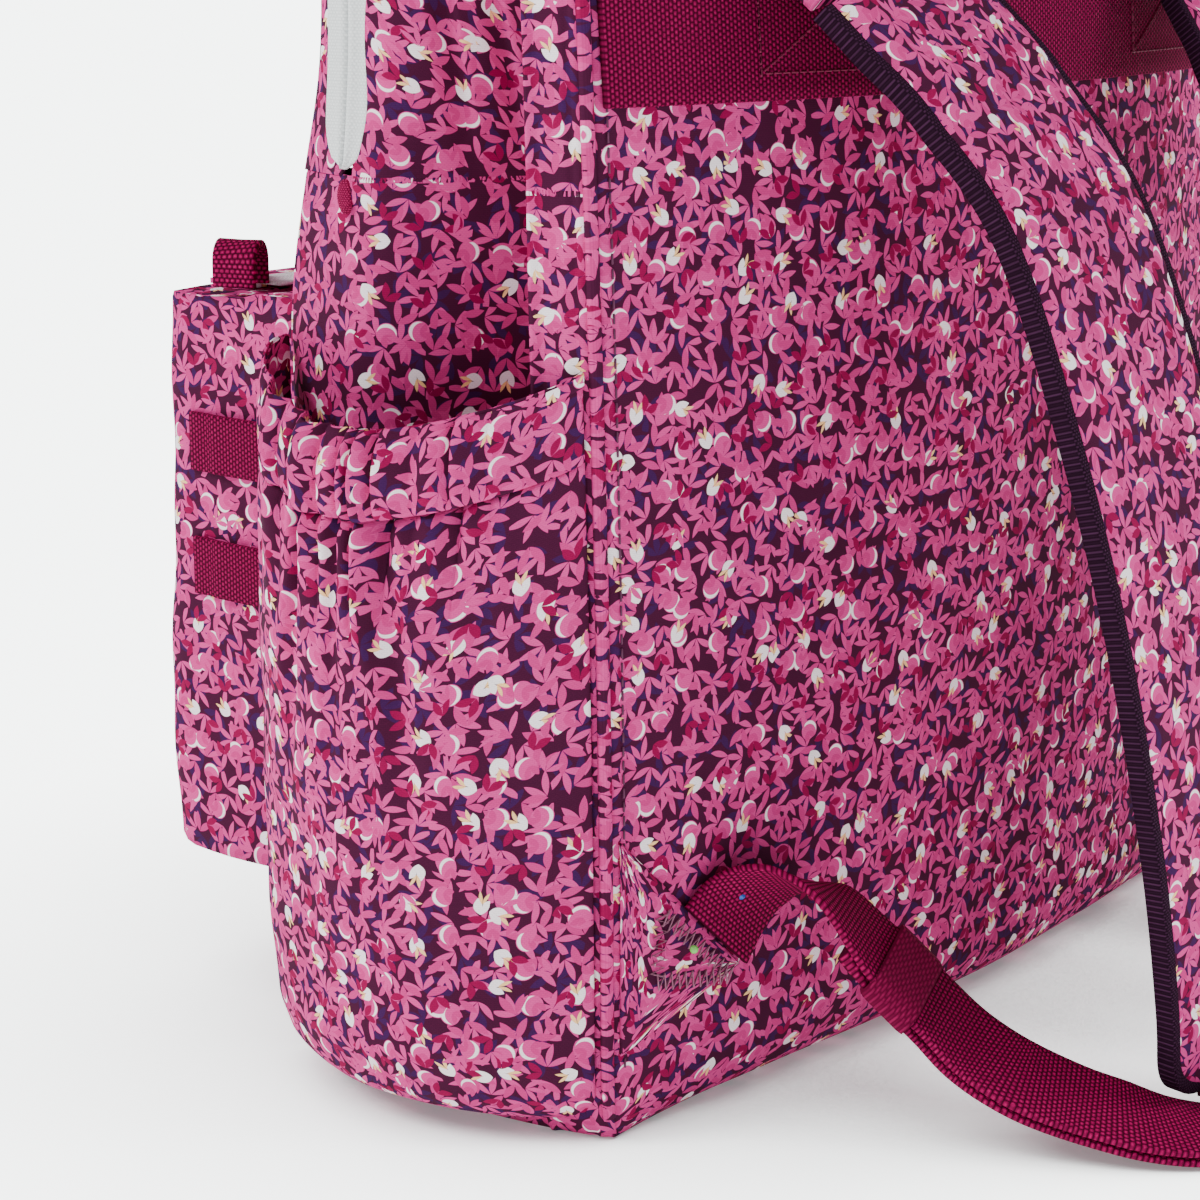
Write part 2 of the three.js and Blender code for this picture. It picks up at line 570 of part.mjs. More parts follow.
const TAIL_STOP = 39;
const TAIL_DROP = 2.4;             // the free end lies this far under the webbing
const KEEPER_LENGTH = 13;
const KEEPER_AT = 7;             // the stop that the keeper sits on
const LOCK = [34, 20, 4.6];
const LOCK_CENTRE = [29.4, 164, 9];
const LOCK_TURN = THREE.MathUtils.degToRad(20);

function keeperGeometry() {
  const from = new THREE.Vector3(...WEBBING_STOPS[KEEPER_AT - 1][0]);
  const to = new THREE.Vector3(...WEBBING_STOPS[KEEPER_AT + 1][0]);
  const along = to.clone().sub(from).normalize();
  const centre = new THREE.Vector3(...WEBBING_STOPS[KEEPER_AT][0]);
  const across = new THREE.Vector3(...WEBBING_STOPS[KEEPER_AT][1]);
  const piece = (length, width, thick) => {
    const ends = [-length / 2, length / 2].map((d) => ({ at: centre.clone().addScaledVector(along, d), across }));
    return toSolid(sweep(ends, width, thick));
  };
  const room = 2 * (TAIL_DROP + WEBBING_THICK / 2 + 0.7);
  return toGeometry(piece(KEEPER_LENGTH, WEBBING + 4.6, room + 2.4)
    .subtract(piece(KEEPER_LENGTH + 4, WEBBING + 2, room)));
}

function ladderLockGeometry() {
  const [width, length, thick] = LOCK;
  const bars = [-length / 2, -length / 2 + 3.5, -1.75, 1.75, length / 2 - 3.5, length / 2];
  let frame = blockSolid([-width / 2, bars[0], -thick / 2], [width / 2, bars[5], thick / 2]);
  const slot = WEBBING / 2 + 1;
  frame = frame.subtract(blockSolid([-slot, bars[1], -thick], [slot, bars[2], thick]));
  frame = frame.subtract(blockSolid([-slot, bars[3], -thick], [slot, bars[4], thick]));
  return toGeometry(frame.rotate([0, 0, THREE.MathUtils.radToDeg(LOCK_TURN)]).translate(LOCK_CENTRE));
}

function addStraps() {
  const strapThick = (t) => THREE.MathUtils.lerp(STRAP_THICK, STRAP_END_THICK, smooth((t - 0.85) / 0.15));
  const strapWidth = (t) => STRAP_WIDTH - 16 * smooth((t - 0.9) / 0.1);
  const strapRoute = smoothRoute(STRAP_STOPS, 26);
  const webbingRoute = smoothRoute(WEBBING_STOPS, WEBBING_STEPS);
  const tailRoute = webbingRoute.slice(TAIL_START, TAIL_STOP).map(({ at, across }, i, all) => {
    const along = all[Math.min(i + 1, all.length - 1)].at.clone().sub(all[Math.max(i - 1, 0)].at).normalize();
    const side = across.clone().addScaledVector(along, -across.dot(along)).normalize();
    const up = new THREE.Vector3().crossVectors(along, side);
    return { at: at.clone().addScaledVector(up, -TAIL_DROP * Math.sign(up.z)), across };
  });
  const root = [
    { at: new THREE.Vector3(75, 58, 270), across: new THREE.Vector3(-1, 0.15, 0) },
    { at: new THREE.Vector3(75.5, 66, 269), across: new THREE.Vector3(-1, 0.15, 0) },
  ];
  const tongue = smoothRoute([
    [[35.2, 146.4, 7.9], [-1, 0, 0.08]],
    [[34.4, 149.6, 7.6], [-0.98, -0.2, 0]],
    [[33.2, 153.3, 8], [-0.94, -0.34, 0]],
  ], 6);
  for (const [name, , sign] of SIDES) {
    const place = (geometry) => (sign > 0 ? geometry : mirrorX(geometry));
    addPart(`shoulder_strap_${name}`, place(sweep(strapRoute, strapWidth, strapThick)), PRINT);
    addPart(`strap_root_${name}`, place(toGeometry(toSolid(sweep(root, STRAP_WIDTH, STRAP_THICK))
      .subtract(bodySolid(2 * GAP + WEBBING_THICK)))), PRINT);
    addPart(`strap_webbing_${name}`, place(sweep(webbingRoute, WEBBING, WEBBING_THICK)), MAGENTA);
    addPart(`webbing_tail_${name}`, place(sweep(tailRoute, WEBBING, WEBBING_THICK)), MAGENTA);
    addPart(`webbing_keeper_${name}`, place(keeperGeometry()), MAGENTA);
    addPart(`strap_tongue_${name}`, place(sweep(tongue, TONGUE_WIDTH, WEBBING_THICK)), MAGENTA);
    addPart(`ladder_lock_${name}`, place(ladderLockGeometry()), PLASTIC);
  }
}

// ---------------------------------------------------------------- grab handle
const FOOT = [26, 16, 1.6];
const HANDLE_LIFT = 1.4;         // from the feet to the start of the handle's arch

function addHandle() {
  const base = BODY_HEIGHT + GAP;
  for (const [name, , sign] of SIDES) {
    const x = (sign * HANDLE_SPAN) / 2;
    addPart(`handle_foot_${name}`, block(
      [x - FOOT[0] / 2, HANDLE_Y - FOOT[1] / 2, base],
      [x + FOOT[0] / 2, HANDLE_Y + FOOT[1] / 2, base + FOOT[2]]), MAGENTA);
  }
  const start = base + FOOT[2] + HANDLE_LIFT;
  const steps = 20;
  const route = Array.from({ length: steps + 1 }, (_, i) => {
    const turn = (Math.PI * i) / steps;
    return {
      at: new THREE.Vector3((-HANDLE_SPAN / 2) * Math.cos(turn), HANDLE_Y, start + HANDLE_RISE * Math.sin(turn) ** 0.8),
      across: new THREE.Vector3(0, 1, 0),
    };
  });
  const inPlane = (t) => 20 - 11 * Math.sin(Math.PI * t) ** 0.5;
  const sideways = (t) => 2.2 + 14 * Math.sin(Math.PI * t);
  addPart('grab_handle', sweep(route, sideways, inPlane), MAGENTA);
}

addBody();
addMainZip();
addMainSliders();
addInside();
addBottlePockets();
addFrontPocket();
addPocketTrim();
addBackTrim();
addStraps();
addHandle();

export default backpack;
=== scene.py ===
import json
import math

import bmesh
import bpy
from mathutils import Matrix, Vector


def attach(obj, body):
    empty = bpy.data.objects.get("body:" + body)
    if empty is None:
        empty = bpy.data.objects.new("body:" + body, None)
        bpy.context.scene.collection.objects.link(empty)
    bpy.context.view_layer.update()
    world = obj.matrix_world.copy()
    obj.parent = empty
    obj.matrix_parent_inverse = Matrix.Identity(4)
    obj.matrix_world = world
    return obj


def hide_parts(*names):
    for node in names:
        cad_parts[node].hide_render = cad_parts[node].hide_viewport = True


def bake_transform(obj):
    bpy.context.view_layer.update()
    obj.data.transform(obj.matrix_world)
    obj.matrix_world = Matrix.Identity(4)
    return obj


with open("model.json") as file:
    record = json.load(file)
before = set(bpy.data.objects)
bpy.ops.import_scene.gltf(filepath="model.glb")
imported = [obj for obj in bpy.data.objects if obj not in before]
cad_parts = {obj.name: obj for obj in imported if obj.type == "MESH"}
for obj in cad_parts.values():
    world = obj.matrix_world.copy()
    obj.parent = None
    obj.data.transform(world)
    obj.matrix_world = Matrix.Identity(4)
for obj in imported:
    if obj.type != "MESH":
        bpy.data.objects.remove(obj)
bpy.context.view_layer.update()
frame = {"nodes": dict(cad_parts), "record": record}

# A soft school backpack: a lofted printed body with a zipped front, gathered bottle pockets, a zipped
# accessory pocket, padded straps and raspberry webbing. Lengths are millimetres until they are placed.
MM = 0.001
SIDES = (("right", 1), ("left", -1))


def lerp(a, b, t):
    return a + (b - a) * t


def ease(t):
    t = min(max(t, 0.0), 1.0)
    return t * t * (3 - 2 * t)


def bump_at(value, middle, reach):
    """1 at middle, falling smoothly to 0 at reach from it."""
    return ease(1 - abs(value - middle) / reach)


def through(levels, value, column=1):
    """The column's value between the two levels that hold it."""
    for low, high in zip(levels, levels[1:]):
        if value <= high[0]:
            return lerp(low[column], high[column], max(0.0, (value - low[0]) / (high[0] - low[0])))
    return levels[-1][column]


def ripple(a, b, seed):
    """Slow uneven waves between about -1 and 1, which keep cloth from lying dead flat."""
    return (math.sin(a * 0.043 + seed * 1.7) * math.cos(b * 0.036 + seed) * 0.6
            + math.sin(a * 0.11 + b * 0.07 + seed * 2.3) * 0.3
            + math.sin(b * 0.19 - a * 0.05 + seed * 0.9) * 0.2)


# ------------------------------------------------------------------ the body's outline
SEAM_X = 142.0        # corner seams
FRONT_Y = -45.0       # front seams
BODY_TOP = 365.0
TOP_SEAM = 335.0
FLAP_SEAM = 216.0     # the front folds down above this
ZIP_Y = -27.0
MIDDLE_Y = 4.0
STRIP = 0.15          # flat strip of the side beside the back seam, as a share of the side
EDGES = [(0, 16, 12), (2, 10, 7), (6, 5, 3.5), (12, 1.5, 1), (20, 0, 0), (335, 0, 0), (345, 2, 1.5),
         (354, 7, 5), (360, 14, 9.5), (364, 24, 15), (365, 34, 20)]


def back_seam_y(z):
    return 52.5 - 7 * (z / 256) ** 2


def back_crown(z):
    return 15 + 6 * math.sin(math.pi * z / BODY_TOP)


def fold_depth(z):
    return 36 * ease((z - 12) / 40) * (1 - 0.7 * ease((z - 210) / 120)) * (1 - ease((z - 315) / 20))


def rounded(x, y, z):
    """Draws the outline in towards the base and the top. The base keeps its corners nearly square."""
    in_x, in_y = through(EDGES, z, 1), through(EDGES, z, 2)
    if z < 20:
        in_x *= 0.3
        in_y *= lerp(1.0, 0.2, min(abs(x) / SEAM_X, 1) ** 5)
    return Vector((x * (1 - in_x / 142), MIDDLE_Y + (y - MIDDLE_Y) * (1 - in_y / 50), z))


def back_at(x, z):
    share = abs(x) / SEAM_X
    return rounded(x, back_seam_y(z) + back_crown(z) * (1 - share ** 2), z)


def side_at(s, z):
    """A place on the right side: s is 0 at the back seam and 1 at the front seam."""
    if s < STRIP:
        fold = 0.0
    elif s < 0.27:
        fold = math.sin(math.pi / 2 * (s - STRIP) / (0.27 - STRIP)) ** 1.1
    else:
        fold = math.cos(math.pi / 2 * min((s - 0.27) / 0.44, 1)) ** 2
    x = SEAM_X + 9 * 4 * s * (1 - s) - fold_depth(z) * fold - lean(z) * s ** 1.5
    return rounded(x, lerp(back_seam_y(z), FRONT_Y + 0.5 * lean(z), s), z)


def lean(z):
    """How far the upper front corners lean in, as a soft bag's do."""
    return 8.0 * ease((z - 175) / 80)


def front_at(x, z):
    share = x / SEAM_X
    return rounded(x * (1 - lean(z) / SEAM_X), FRONT_Y + 0.5 * lean(z) - 6 * (1 - share ** 2), z)


def zip_y(z):
    """The main zip's plane: it swings forward as it crosses the top."""
    return ZIP_Y + 6.0 * ease((350 - z) / 50)


def side_share_at(y, z):
    """Where the plane at y cuts the side, as its share from the back seam."""
    true_y = MIDDLE_Y + (y - MIDDLE_Y) / (1 - through(EDGES, z, 2) / 50)
    return (back_seam_y(z) - true_y) / (back_seam_y(z) - FRONT_Y - 0.5 * lean(z))


def mirrored(place, sign):
    """The same place for the right side, or turned over to the left."""
    def at(u, v):
        p = place(u, v)
        return Vector((p[0] * sign, p[1], p[2]))
    return at


# ------------------------------------------------------------------ nodes and colours
def paint(code):
    """An sRGB hex colour as linear light."""
    parts = [int(code[i:i + 2], 16) / 255 for i in (1, 3, 5)]
    return tuple(c / 12.92 if c <= 0.04045 else ((c + 0.055) / 1.055) ** 2.4 for c in parts) + (1.0,)


def add(tree, kind, inputs=None, **settings):
    """Adds a shader node. An input takes a number, a colour, a socket, or another node's first output."""
    made = tree.nodes.new("ShaderNode" + kind)
    for name, value in settings.items():
        setattr(made, name, value)
    for key, value in (inputs or {}).items():
        source = value.outputs[0] if isinstance(value, bpy.types.Node) else value
        if isinstance(source, bpy.types.NodeSocket):
            tree.links.new(source, made.inputs[key])
        else:
            made.inputs[key].default_value = source
    return made


def new_material(name):
    material = bpy.data.materials.new(name)
    material.use_nodes = True
    material.node_tree.nodes.clear()
    return material, material.node_tree


def finish_material(tree, color, height=None, bump=0.3, depth=0.0004, **values):
    """The surface shader, with its plain numbers on its own sockets."""
    inputs = {"Base Color": color}
    inputs.update({key.replace("_", " "): value for key, value in values.items()})
    if height is not None:
        inputs["Normal"] = add(tree, "Bump", {"Height": height, "Strength": bump, "Distance": depth})
    shader = add(tree, "BsdfPrincipled", inputs)
    add(tree, "OutputMaterial", {"Surface": shader})


def cell_sprig(tree, cloth, spacing, seed, keep, scatter=0.75):
    """A place in each cell of a scattered layout: mm from its middle, turned at random, and whether it is used."""
    moved = add(tree, "VectorMath", {0: cloth, 1: (seed * 31.7, seed * 17.3, 0)}, operation="ADD")
    cell = add(tree, "TexVoronoi", {"Vector": moved, "Scale": 1 / spacing, "Randomness": scatter},
               voronoi_dimensions="2D", feature="F1")
    chance = add(tree, "SeparateColor", {0: cell.outputs["Color"]})
    local = add(tree, "VectorMath", {0: moved, 1: cell.outputs["Position"]}, operation="SUBTRACT")
    turn = add(tree, "Math", {0: chance.outputs[0], 1: 6.283}, operation="MULTIPLY")
    turned = add(tree, "VectorRotate", {"Vector": local, "Angle": turn}, rotation_type="Z_AXIS")
    used = add(tree, "Math", {0: chance.outputs[1], 1: keep}, operation="LESS_THAN")
    return turned, used


def leaf_fan(tree, place, used, leaves, spread, length, width, shift=(0, 0, 0)):
    """Mask of a fan of pointed leaves that grow from one point. spread is the angle between two leaves."""
    moved = add(tree, "VectorMath", {0: place, 1: shift}, operation="SUBTRACT")
    parts = add(tree, "SeparateXYZ", {0: moved})
    angle = add(tree, "Math", {0: parts.outputs[1], 1: parts.outputs[0]}, operation="ARCTAN2")
    steps = add(tree, "Math", {0: angle, 1: 1 / spread, 2: 0.5 * (leaves - 1) % 1}, operation="MULTIPLY_ADD")
    held = add(tree, "Clamp", {"Value": steps, "Min": -(leaves - 1) / 2 + 0.5 * (leaves - 1) % 1,
                               "Max": (leaves - 1) / 2 + 0.5 * (leaves - 1) % 1})
    whole = add(tree, "Math", {0: held}, operation="ROUND")
    back = add(tree, "Math", {0: whole, 1: -spread, 2: spread * (0.5 * (leaves - 1) % 1)},
               operation="MULTIPLY_ADD")
    turned = add(tree, "VectorRotate", {"Vector": moved, "Angle": back}, rotation_type="Z_AXIS")
    leaf = add(tree, "SeparateXYZ", {0: turned})
    share = add(tree, "Math", {0: leaf.outputs[0], 1: 1 / length}, operation="MULTIPLY")
    left = add(tree, "Math", {0: 1.0, 1: share}, operation="SUBTRACT")
    room = add(tree, "Math", {0: share, 1: left}, operation="MULTIPLY")
    bent = add(tree, "Math", {0: room, 1: -width * 0.9, 2: leaf.outputs[1]}, operation="MULTIPLY_ADD")
    across = add(tree, "Math", {0: bent}, operation="ABSOLUTE")
    inside = add(tree, "Math", {0: room, 1: 4 * width, 2: 0.0}, operation="MULTIPLY_ADD")
    gap = add(tree, "Math", {0: inside, 1: across}, operation="SUBTRACT")
    edge = add(tree, "Math", {0: gap, 1: 9.0}, operation="MULTIPLY", use_clamp=True)
    return add(tree, "Math", {0: edge, 1: used}, operation="MULTIPLY")


def round_petal(tree, place, used, radius, shift=(0, 0, 0), bite=None):
    """Mask of a round petal. bite is a second circle (x, y, radius) cut from it, which leaves a crescent."""
    def circle(x, y, size):
        reach = add(tree, "VectorMath", {0: place, 1: (x, y, 0)}, operation="DISTANCE")
        return add(tree, "Math", {0: size, 1: reach.outputs["Value"]}, operation="SUBTRACT")
    gap = circle(shift[0], shift[1], radius)
    if bite:
        bitten = circle(*bite)
        other = add(tree, "Math", {0: bitten, 1: -1.0}, operation="MULTIPLY")
        gap = add(tree, "Math", {0: gap, 1: other}, operation="MINIMUM")
    edge = add(tree, "Math", {0: gap, 1: 9.0}, operation="MULTIPLY", use_clamp=True)
    return add(tree, "Math", {0: edge, 1: used}, operation="MULTIPLY")


PINK = "#D6428C"
DEEP_PINK = "#C8367E"
PLUM = "#43102F"
PURPLE = "#3C1648"
CRIMSON = "#8C0444"
PETAL_WHITE = "#FFF1F6"
PEACH = "#FFCB8C"


def make_print():
    """Small scattered petals on plum, about 2 mm wide and 5 mm long: a generic ditsy floral."""
    group = bpy.data.node_groups.new("ditsy petal print", "ShaderNodeTree")
    group.interface.new_socket("Cloth", in_out="INPUT", socket_type="NodeSocketVector")
    group.interface.new_socket("Color", in_out="OUTPUT", socket_type="NodeSocketColor")
    cloth = group.nodes.new("NodeGroupInput").outputs[0]
    color = add(group, "RGB")
    color.outputs[0].default_value = paint(PLUM)
    color = color.outputs[0]

    def lay(mask, code):
        nonlocal color
        color = add(group, "Mix", {"Factor": mask, 6: color, 7: paint(code)}, data_type="RGBA").outputs[2]

    place, used = cell_sprig(group, cloth, 7.0, 1, 0.8)
    lay(leaf_fan(group, place, used, 3, 1.0, 5.0, 0.95, (-1.5, 0, 0)), PURPLE)
    place, used = cell_sprig(group, cloth, 6.9, 2, 1.1, 0.5)
    lay(leaf_fan(group, place, used, 3, 0.95, 5.7, 0.8, (-2.3, 0, 0)), PINK)
    place, used = cell_sprig(group, cloth, 7.3, 3, 1.1, 0.55)
    lay(leaf_fan(group, place, used, 2, 1.1, 5.5, 0.95, (-2.2, 0, 0)), DEEP_PINK)
    place, used = cell_sprig(group, cloth, 9.0, 4, 0.55, 0.85)
    lay(round_petal(group, place, used, 2.5), PINK)
    lay(round_petal(group, place, used, 2.3, (0, 0), (0.6, 0.8, 2.4)), PETAL_WHITE)
    lay(leaf_fan(group, place, used, 2, 1.0, 3.0, 0.8, (-0.2, 0.8, 0)), DEEP_PINK)
    place, used = cell_sprig(group, cloth, 10.0, 5, 0.45, 0.95)
    lay(leaf_fan(group, place, used, 2, 0.75, 4.0, 1.0, (-2.2, 0, 0)), PETAL_WHITE)
    lay(leaf_fan(group, place, used, 2, 0.8, 3.2, 0.45, (0.2, 0.2, 0)), PEACH)
    place, used = cell_sprig(group, cloth, 9.2, 6, 0.55, 0.9)
    lay(leaf_fan(group, place, used, 2, 1.1, 4.2, 0.95, (-1.3, 0, 0)), CRIMSON)
    place, used = cell_sprig(group, cloth, 9.4, 7, 0.5, 0.85)
    lay(leaf_fan(group, place, used, 3, 0.8, 4.8, 0.7, (-2.0, 0, 0)), PINK)
    out = group.nodes.new("NodeGroupOutput")
    group.links.new(color, out.inputs[0])
    return group


PRINT = make_print()


def printed_cloth(name="printed woven polyester"):
    """Printed plain-woven polyester: matt, with threads drawn about 0.5 mm wide that break up the light. The
    threads also tint the print: their lighter tops are a painted highlight and the darker gaps between them a
    painted shade, with a random tone per thread.
    """
    material, tree = new_material(name)
    cloth = add(tree, "UVMap", uv_map="cloth_mm")
    pattern = add(tree, "Group", {}, node_tree=PRINT)
    tree.links.new(cloth.outputs[0], pattern.inputs[0])
    threads = add(tree, "TexBrick", {"Vector": cloth, "Scale": 1.0, "Brick Width": 0.9, "Row Height": 0.45,
                                     "Mortar Size": 0.12, "Mortar Smooth": 1.0,
                                     "Color1": (1, 1, 1, 1), "Color2": (0.75, 0.75, 0.75, 1),
                                     "Mortar": (0, 0, 0, 1)})
    # Painted shade and highlight: the print is darkened in the gaps between the threads and lightened on their
    # tops.
    shade = add(tree, "MapRange", {"Value": threads.outputs[0], "To Min": 0.9, "To Max": 1.06})
    wear = add(tree, "TexNoise", {"Vector": cloth, "Scale": 0.03, "Detail": 3.0})
    tone = add(tree, "MapRange", {"Value": wear.outputs[0], "From Min": 0.3, "From Max": 0.7,
            "To Min": 0.96, "To Max": 1.03})
    level = add(tree, "Math", {0: shade, 1: tone}, operation="MULTIPLY")
    woven = add(tree, "VectorMath", {0: pattern.outputs[0], "Scale": level}, operation="SCALE")
    finish_material(tree, woven, threads.outputs[0], 0.25, 0.0002, Roughness=0.85, Specular_IOR_Level=0.08)
    return material


def webbing_cloth(name, dark, light, row, stitch, bump=0.6, across=False):
    """Ribbed nylon webbing: rows of raised threads row mm apart, each broken into stitches. The colour runs from
    dark in the valleys to light on the raised thread tops, a painted shade and a painted highlight, broken up by a
    random fibre tone.
    """
    material, tree = new_material(name)
    cloth = add(tree, "UVMap", uv_map="cloth_mm")
    parts = add(tree, "SeparateXYZ", {0: cloth})
    along, over = (parts.outputs[1], parts.outputs[0]) if across else (parts.outputs[0], parts.outputs[1])
    rows = add(tree, "Math", {0: along, 1: math.pi / row}, operation="MULTIPLY")
    ridge = add(tree, "Math", {0: add(tree, "Math", {0: rows}, operation="SINE")}, operation="ABSOLUTE")
    which = add(tree, "Math", {0: add(tree, "Math", {0: along, 1: row}, operation="DIVIDE")},
                operation="FLOOR")
    step = add(tree, "Math", {0: which, 1: 0.5 * stitch, 2: over}, operation="MULTIPLY_ADD")
    dashes = add(tree, "Math", {0: add(tree, "Math", {0: step, 1: math.pi / stitch}, operation="MULTIPLY")},
                 operation="SINE")
    dash = add(tree, "Math", {0: dashes}, operation="ABSOLUTE")
    height = add(tree, "Math", {0: ridge, 1: dash}, operation="MULTIPLY")
    fibre = add(tree, "TexNoise", {"Vector": cloth, "Scale": 1.6, "Detail": 2.0})
    spread = add(tree, "Math", {0: height, 1: fibre.outputs[0]}, operation="MULTIPLY")
    # The colour follows the rib height: painted shade in the valleys and a painted highlight on the thread tops.
    factor = add(tree, "MapRange", {"Value": spread, "From Min": 0.05, "From Max": 0.6})
    color = add(tree, "Mix", {"Factor": factor, 6: paint(dark), 7: paint(light)}, data_type="RGBA")
    finish_material(tree, color.outputs[2], height, bump, 0.0006, Roughness=0.8, Specular_IOR_Level=0.04)
    return material


def moulded(name, color, roughness, metallic=0.0, grain=2600.0):
    """Cast or moulded hardware: one colour, with a fine uneven skin that softens its highlights."""
    material, tree = new_material(name)
    place = add(tree, "TexCoord").outputs["Object"]
    skin = add(tree, "TexNoise", {"Vector": place, "Scale": grain, "Detail": 2.0})
    rough = add(tree, "MapRange", {"Value": skin.outputs[0], "To Min": roughness * 0.8,
            "To Max": roughness * 1.25})
    tone = add(tree, "Mix", {"Factor": skin.outputs[0], 6: paint(color),
                             7: tuple(c * 0.86 for c in paint(color)[:3]) + (1.0,)},
               data_type="RGBA")
    finish_material(tree, tone.outputs[2], skin.outputs[0], 0.08, 0.0002, Roughness=rough, Metallic=metallic)
    return material


# printed: a matt, busy cloth with no gleam; webbing and ribbed_band: coarse rows with painted shade
# between the ribs and a painted highlight on the thread tops; elastic: finer, flatter rows; knit_binding: a dark
# narrow rib that edges the straps. Every cloth made by webbing_cloth carries this painted rib shading.
printed = printed_cloth()
webbing = webbing_cloth("raspberry nylon webbing", "#3C021C", "#B80F60", 1.15, 1.5)
ribbed_band = webbing_cloth("raspberry ribbed band", "#3C021C", "#A81058", 1.1, 1.3)
elastic = webbing_cloth("raspberry woven elastic", "#58052A", "#92164C", 0.8, 3.0, 0.4)
knit_binding = webbing_cloth("aubergine knit binding", "#1C0818", "#43223E", 0.7, 0.9)
# lining: a fine dull dark weave; zip_tape: a close white weave that reads as almost smooth
lining = webbing_cloth("aubergine lining cloth", "#2A1230", "#3F2244", 0.5, 0.9, 0.2)
zip_tape = webbing_cloth("white woven zip tape", "#DADCDD", "#F7F8F8", 0.7, 0.9, 0.3)
# threads: small dull raised lines; crimson_thread: a dense satin bartack with a faint rib
plum_thread = moulded("plum sewing thread", "#5A1C44", 0.7)
mauve_thread = moulded("dusky mauve sewing thread", "#A3647F", 0.7)
crimson_thread = webbing_cloth("crimson bartack thread", "#7D0C3A", "#C2306B", 0.5, 0.8, 0.8)
crimson_stitch = moulded("crimson sewing thread", "#7A0F3E", 0.7)
# nickel: bright soft-edged highlights; plastic: a low sheen; board and foam: plain dull inner pieces;
# the two glasses: tiny sharp highlights on the pin heads
nickel = moulded("polished nickel plate", "#C9C9CD", 0.22, 1.0)
plastic = moulded("moulded raspberry acetal", "#7C1147", 0.4)
board = moulded("grey polypropylene board", "#4A4650", 0.6)
foam = moulded("closed-cell foam", "#6D5A72", 0.9, 0.0, 900.0)
blue_glass = moulded("blue glass bead", "#1D55B8", 0.08)
green_glass = moulded("green glass bead", "#79C95A", 0.08)


# ------------------------------------------------------------------ making pieces
def keep_piece(name, bm, material, body, stands_for=(), thick=0.0, inner=None, sewn=None):
    """Turns a finished bmesh into a piece that rides on its body. A piece with one end sewn to another
    body has sewn=(that body, start, end), in mm: its placement is baked into its mesh and it is not attached to
    any body; the two places are not used."""
    mesh = bpy.data.meshes.new(name)
    bm.to_mesh(mesh)
    bm.free()
    mesh.shade_smooth()
    piece = bpy.data.objects.new(name, mesh)
    bpy.context.scene.collection.objects.link(piece)
    mesh.materials.append(material)
    if inner:
        mesh.materials.append(inner)
    if thick:
        wall = piece.modifiers.new("cloth thickness", "SOLIDIFY")
        wall.thickness = thick * MM
        wall.offset = -1.0
        wall.use_even_offset = False
        wall.material_offset = 1 if inner else 0
    if sewn:
        held_by, start, end = sewn
        Vector(start) * MM
        Vector(end) * MM
        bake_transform(piece)
    else:
        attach(piece, body)
    if stands_for:
        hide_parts(*stands_for)
    return piece


def cloth_grid(columns, rows, place, origin=(0.0, 0.0), outward=None, gathered=False):
    """A grid of cloth laid over place(u, v), in mm, with its print measured along the cloth itself.
    Gathered cloth is as wide at its bottom as at its top, so its print runs straight down."""
    bm = bmesh.new()
    bmesh.ops.create_grid(bm, x_segments=columns, y_segments=rows, size=0.5)
    spot = {v: (round((v.co.x + 0.5) * columns), round((v.co.y + 0.5) * rows)) for v in bm.verts}
    at = {(i, j): Vector(place(i / columns, j / rows)) for i in range(columns + 1) for j in range(rows + 1)}
    across = {}
    up = {}
    for j in range(rows + 1):
        across[0, j] = origin[0]
        for i in range(1, columns + 1):
            step = (at[i, j] - at[i - 1, j]).length
            if gathered:
                step = sum((at[i, k] - at[i - 1, k]).length for k in (0, rows // 2, rows)) / 3
            across[i, j] = across[i - 1, j] + step
    middle = columns // 2
    for i in range(columns + 1):
        up[i, 0] = origin[1]
    for j in range(1, rows + 1):
        rise = (at[middle, j] - at[middle, j - 1]).length
        for i in range(columns + 1):
            up[i, j] = up[i, j - 1] + rise
    uv = bm.loops.layers.uv.new("cloth_mm")
    for face in bm.faces:
        for loop in face.loops:
            key = spot[loop.vert]
            loop[uv].uv = (across[key], up[key])
    for v, key in spot.items():
        v.co = at[key] * MM
    if outward is not None:
        bm.normal_update()
        facing = sum((f.normal * f.calc_area()).dot(f.calc_center_median() - Vector(outward) * MM)
                     for f in bm.faces)
        if facing < 0:
            bmesh.ops.reverse_faces(bm, faces=bm.faces)
    return bm


def curve_through(stops, count):
    """Places along a smooth curve through the stops. Each stop is any number of vectors that go together."""
    stops = [[Vector(v) for v in stop] for stop in stops]
    last = len(stops) - 1
    made = []
    for n in range(count + 1):
        where = n / count * last
        i = min(int(where), last - 1)
        t = where - i
        four = [stops[max(i - 1, 0)], stops[i], stops[i + 1], stops[min(i + 2, last)]]
        made.append([0.5 * (2 * b + (c - a) * t + (2 * a - 5 * b + 4 * c - d) * t ** 2
                            + (3 * b - a - 3 * c + d) * t ** 3)
                     for a, b, c, d in zip(*four)])
    return made


def strip_frames(line):
    """(place, along, across, up) at each stop of a line of (place, across)."""
    frames = []
    for i, (place, across) in enumerate(line):
        along = (line[min(i + 1, len(line) - 1)][0] - line[max(i - 1, 0)][0]).normalized()
        across = (across - along * across.dot(along)).normalized()
        frames.append((place, along, across, along.cross(across)))
    return frames


def flat_section(width, thick, steps=6, edge=0.35):
    """The outline of a flat woven strip with rounded edges, as (across, up)."""
    half, rise = width / 2, thick / 2
    top = [(lerp(-half + rise * edge, half - rise * edge, i / steps), rise) for i in range(steps + 1)]
    return top + [(half, rise * 0.4), (half, -rise * 0.4)] + [(a, -b) for a,
            b in reversed(top)] + [(-half, -rise * 0.4),
                    (-half, rise * 0.4)]


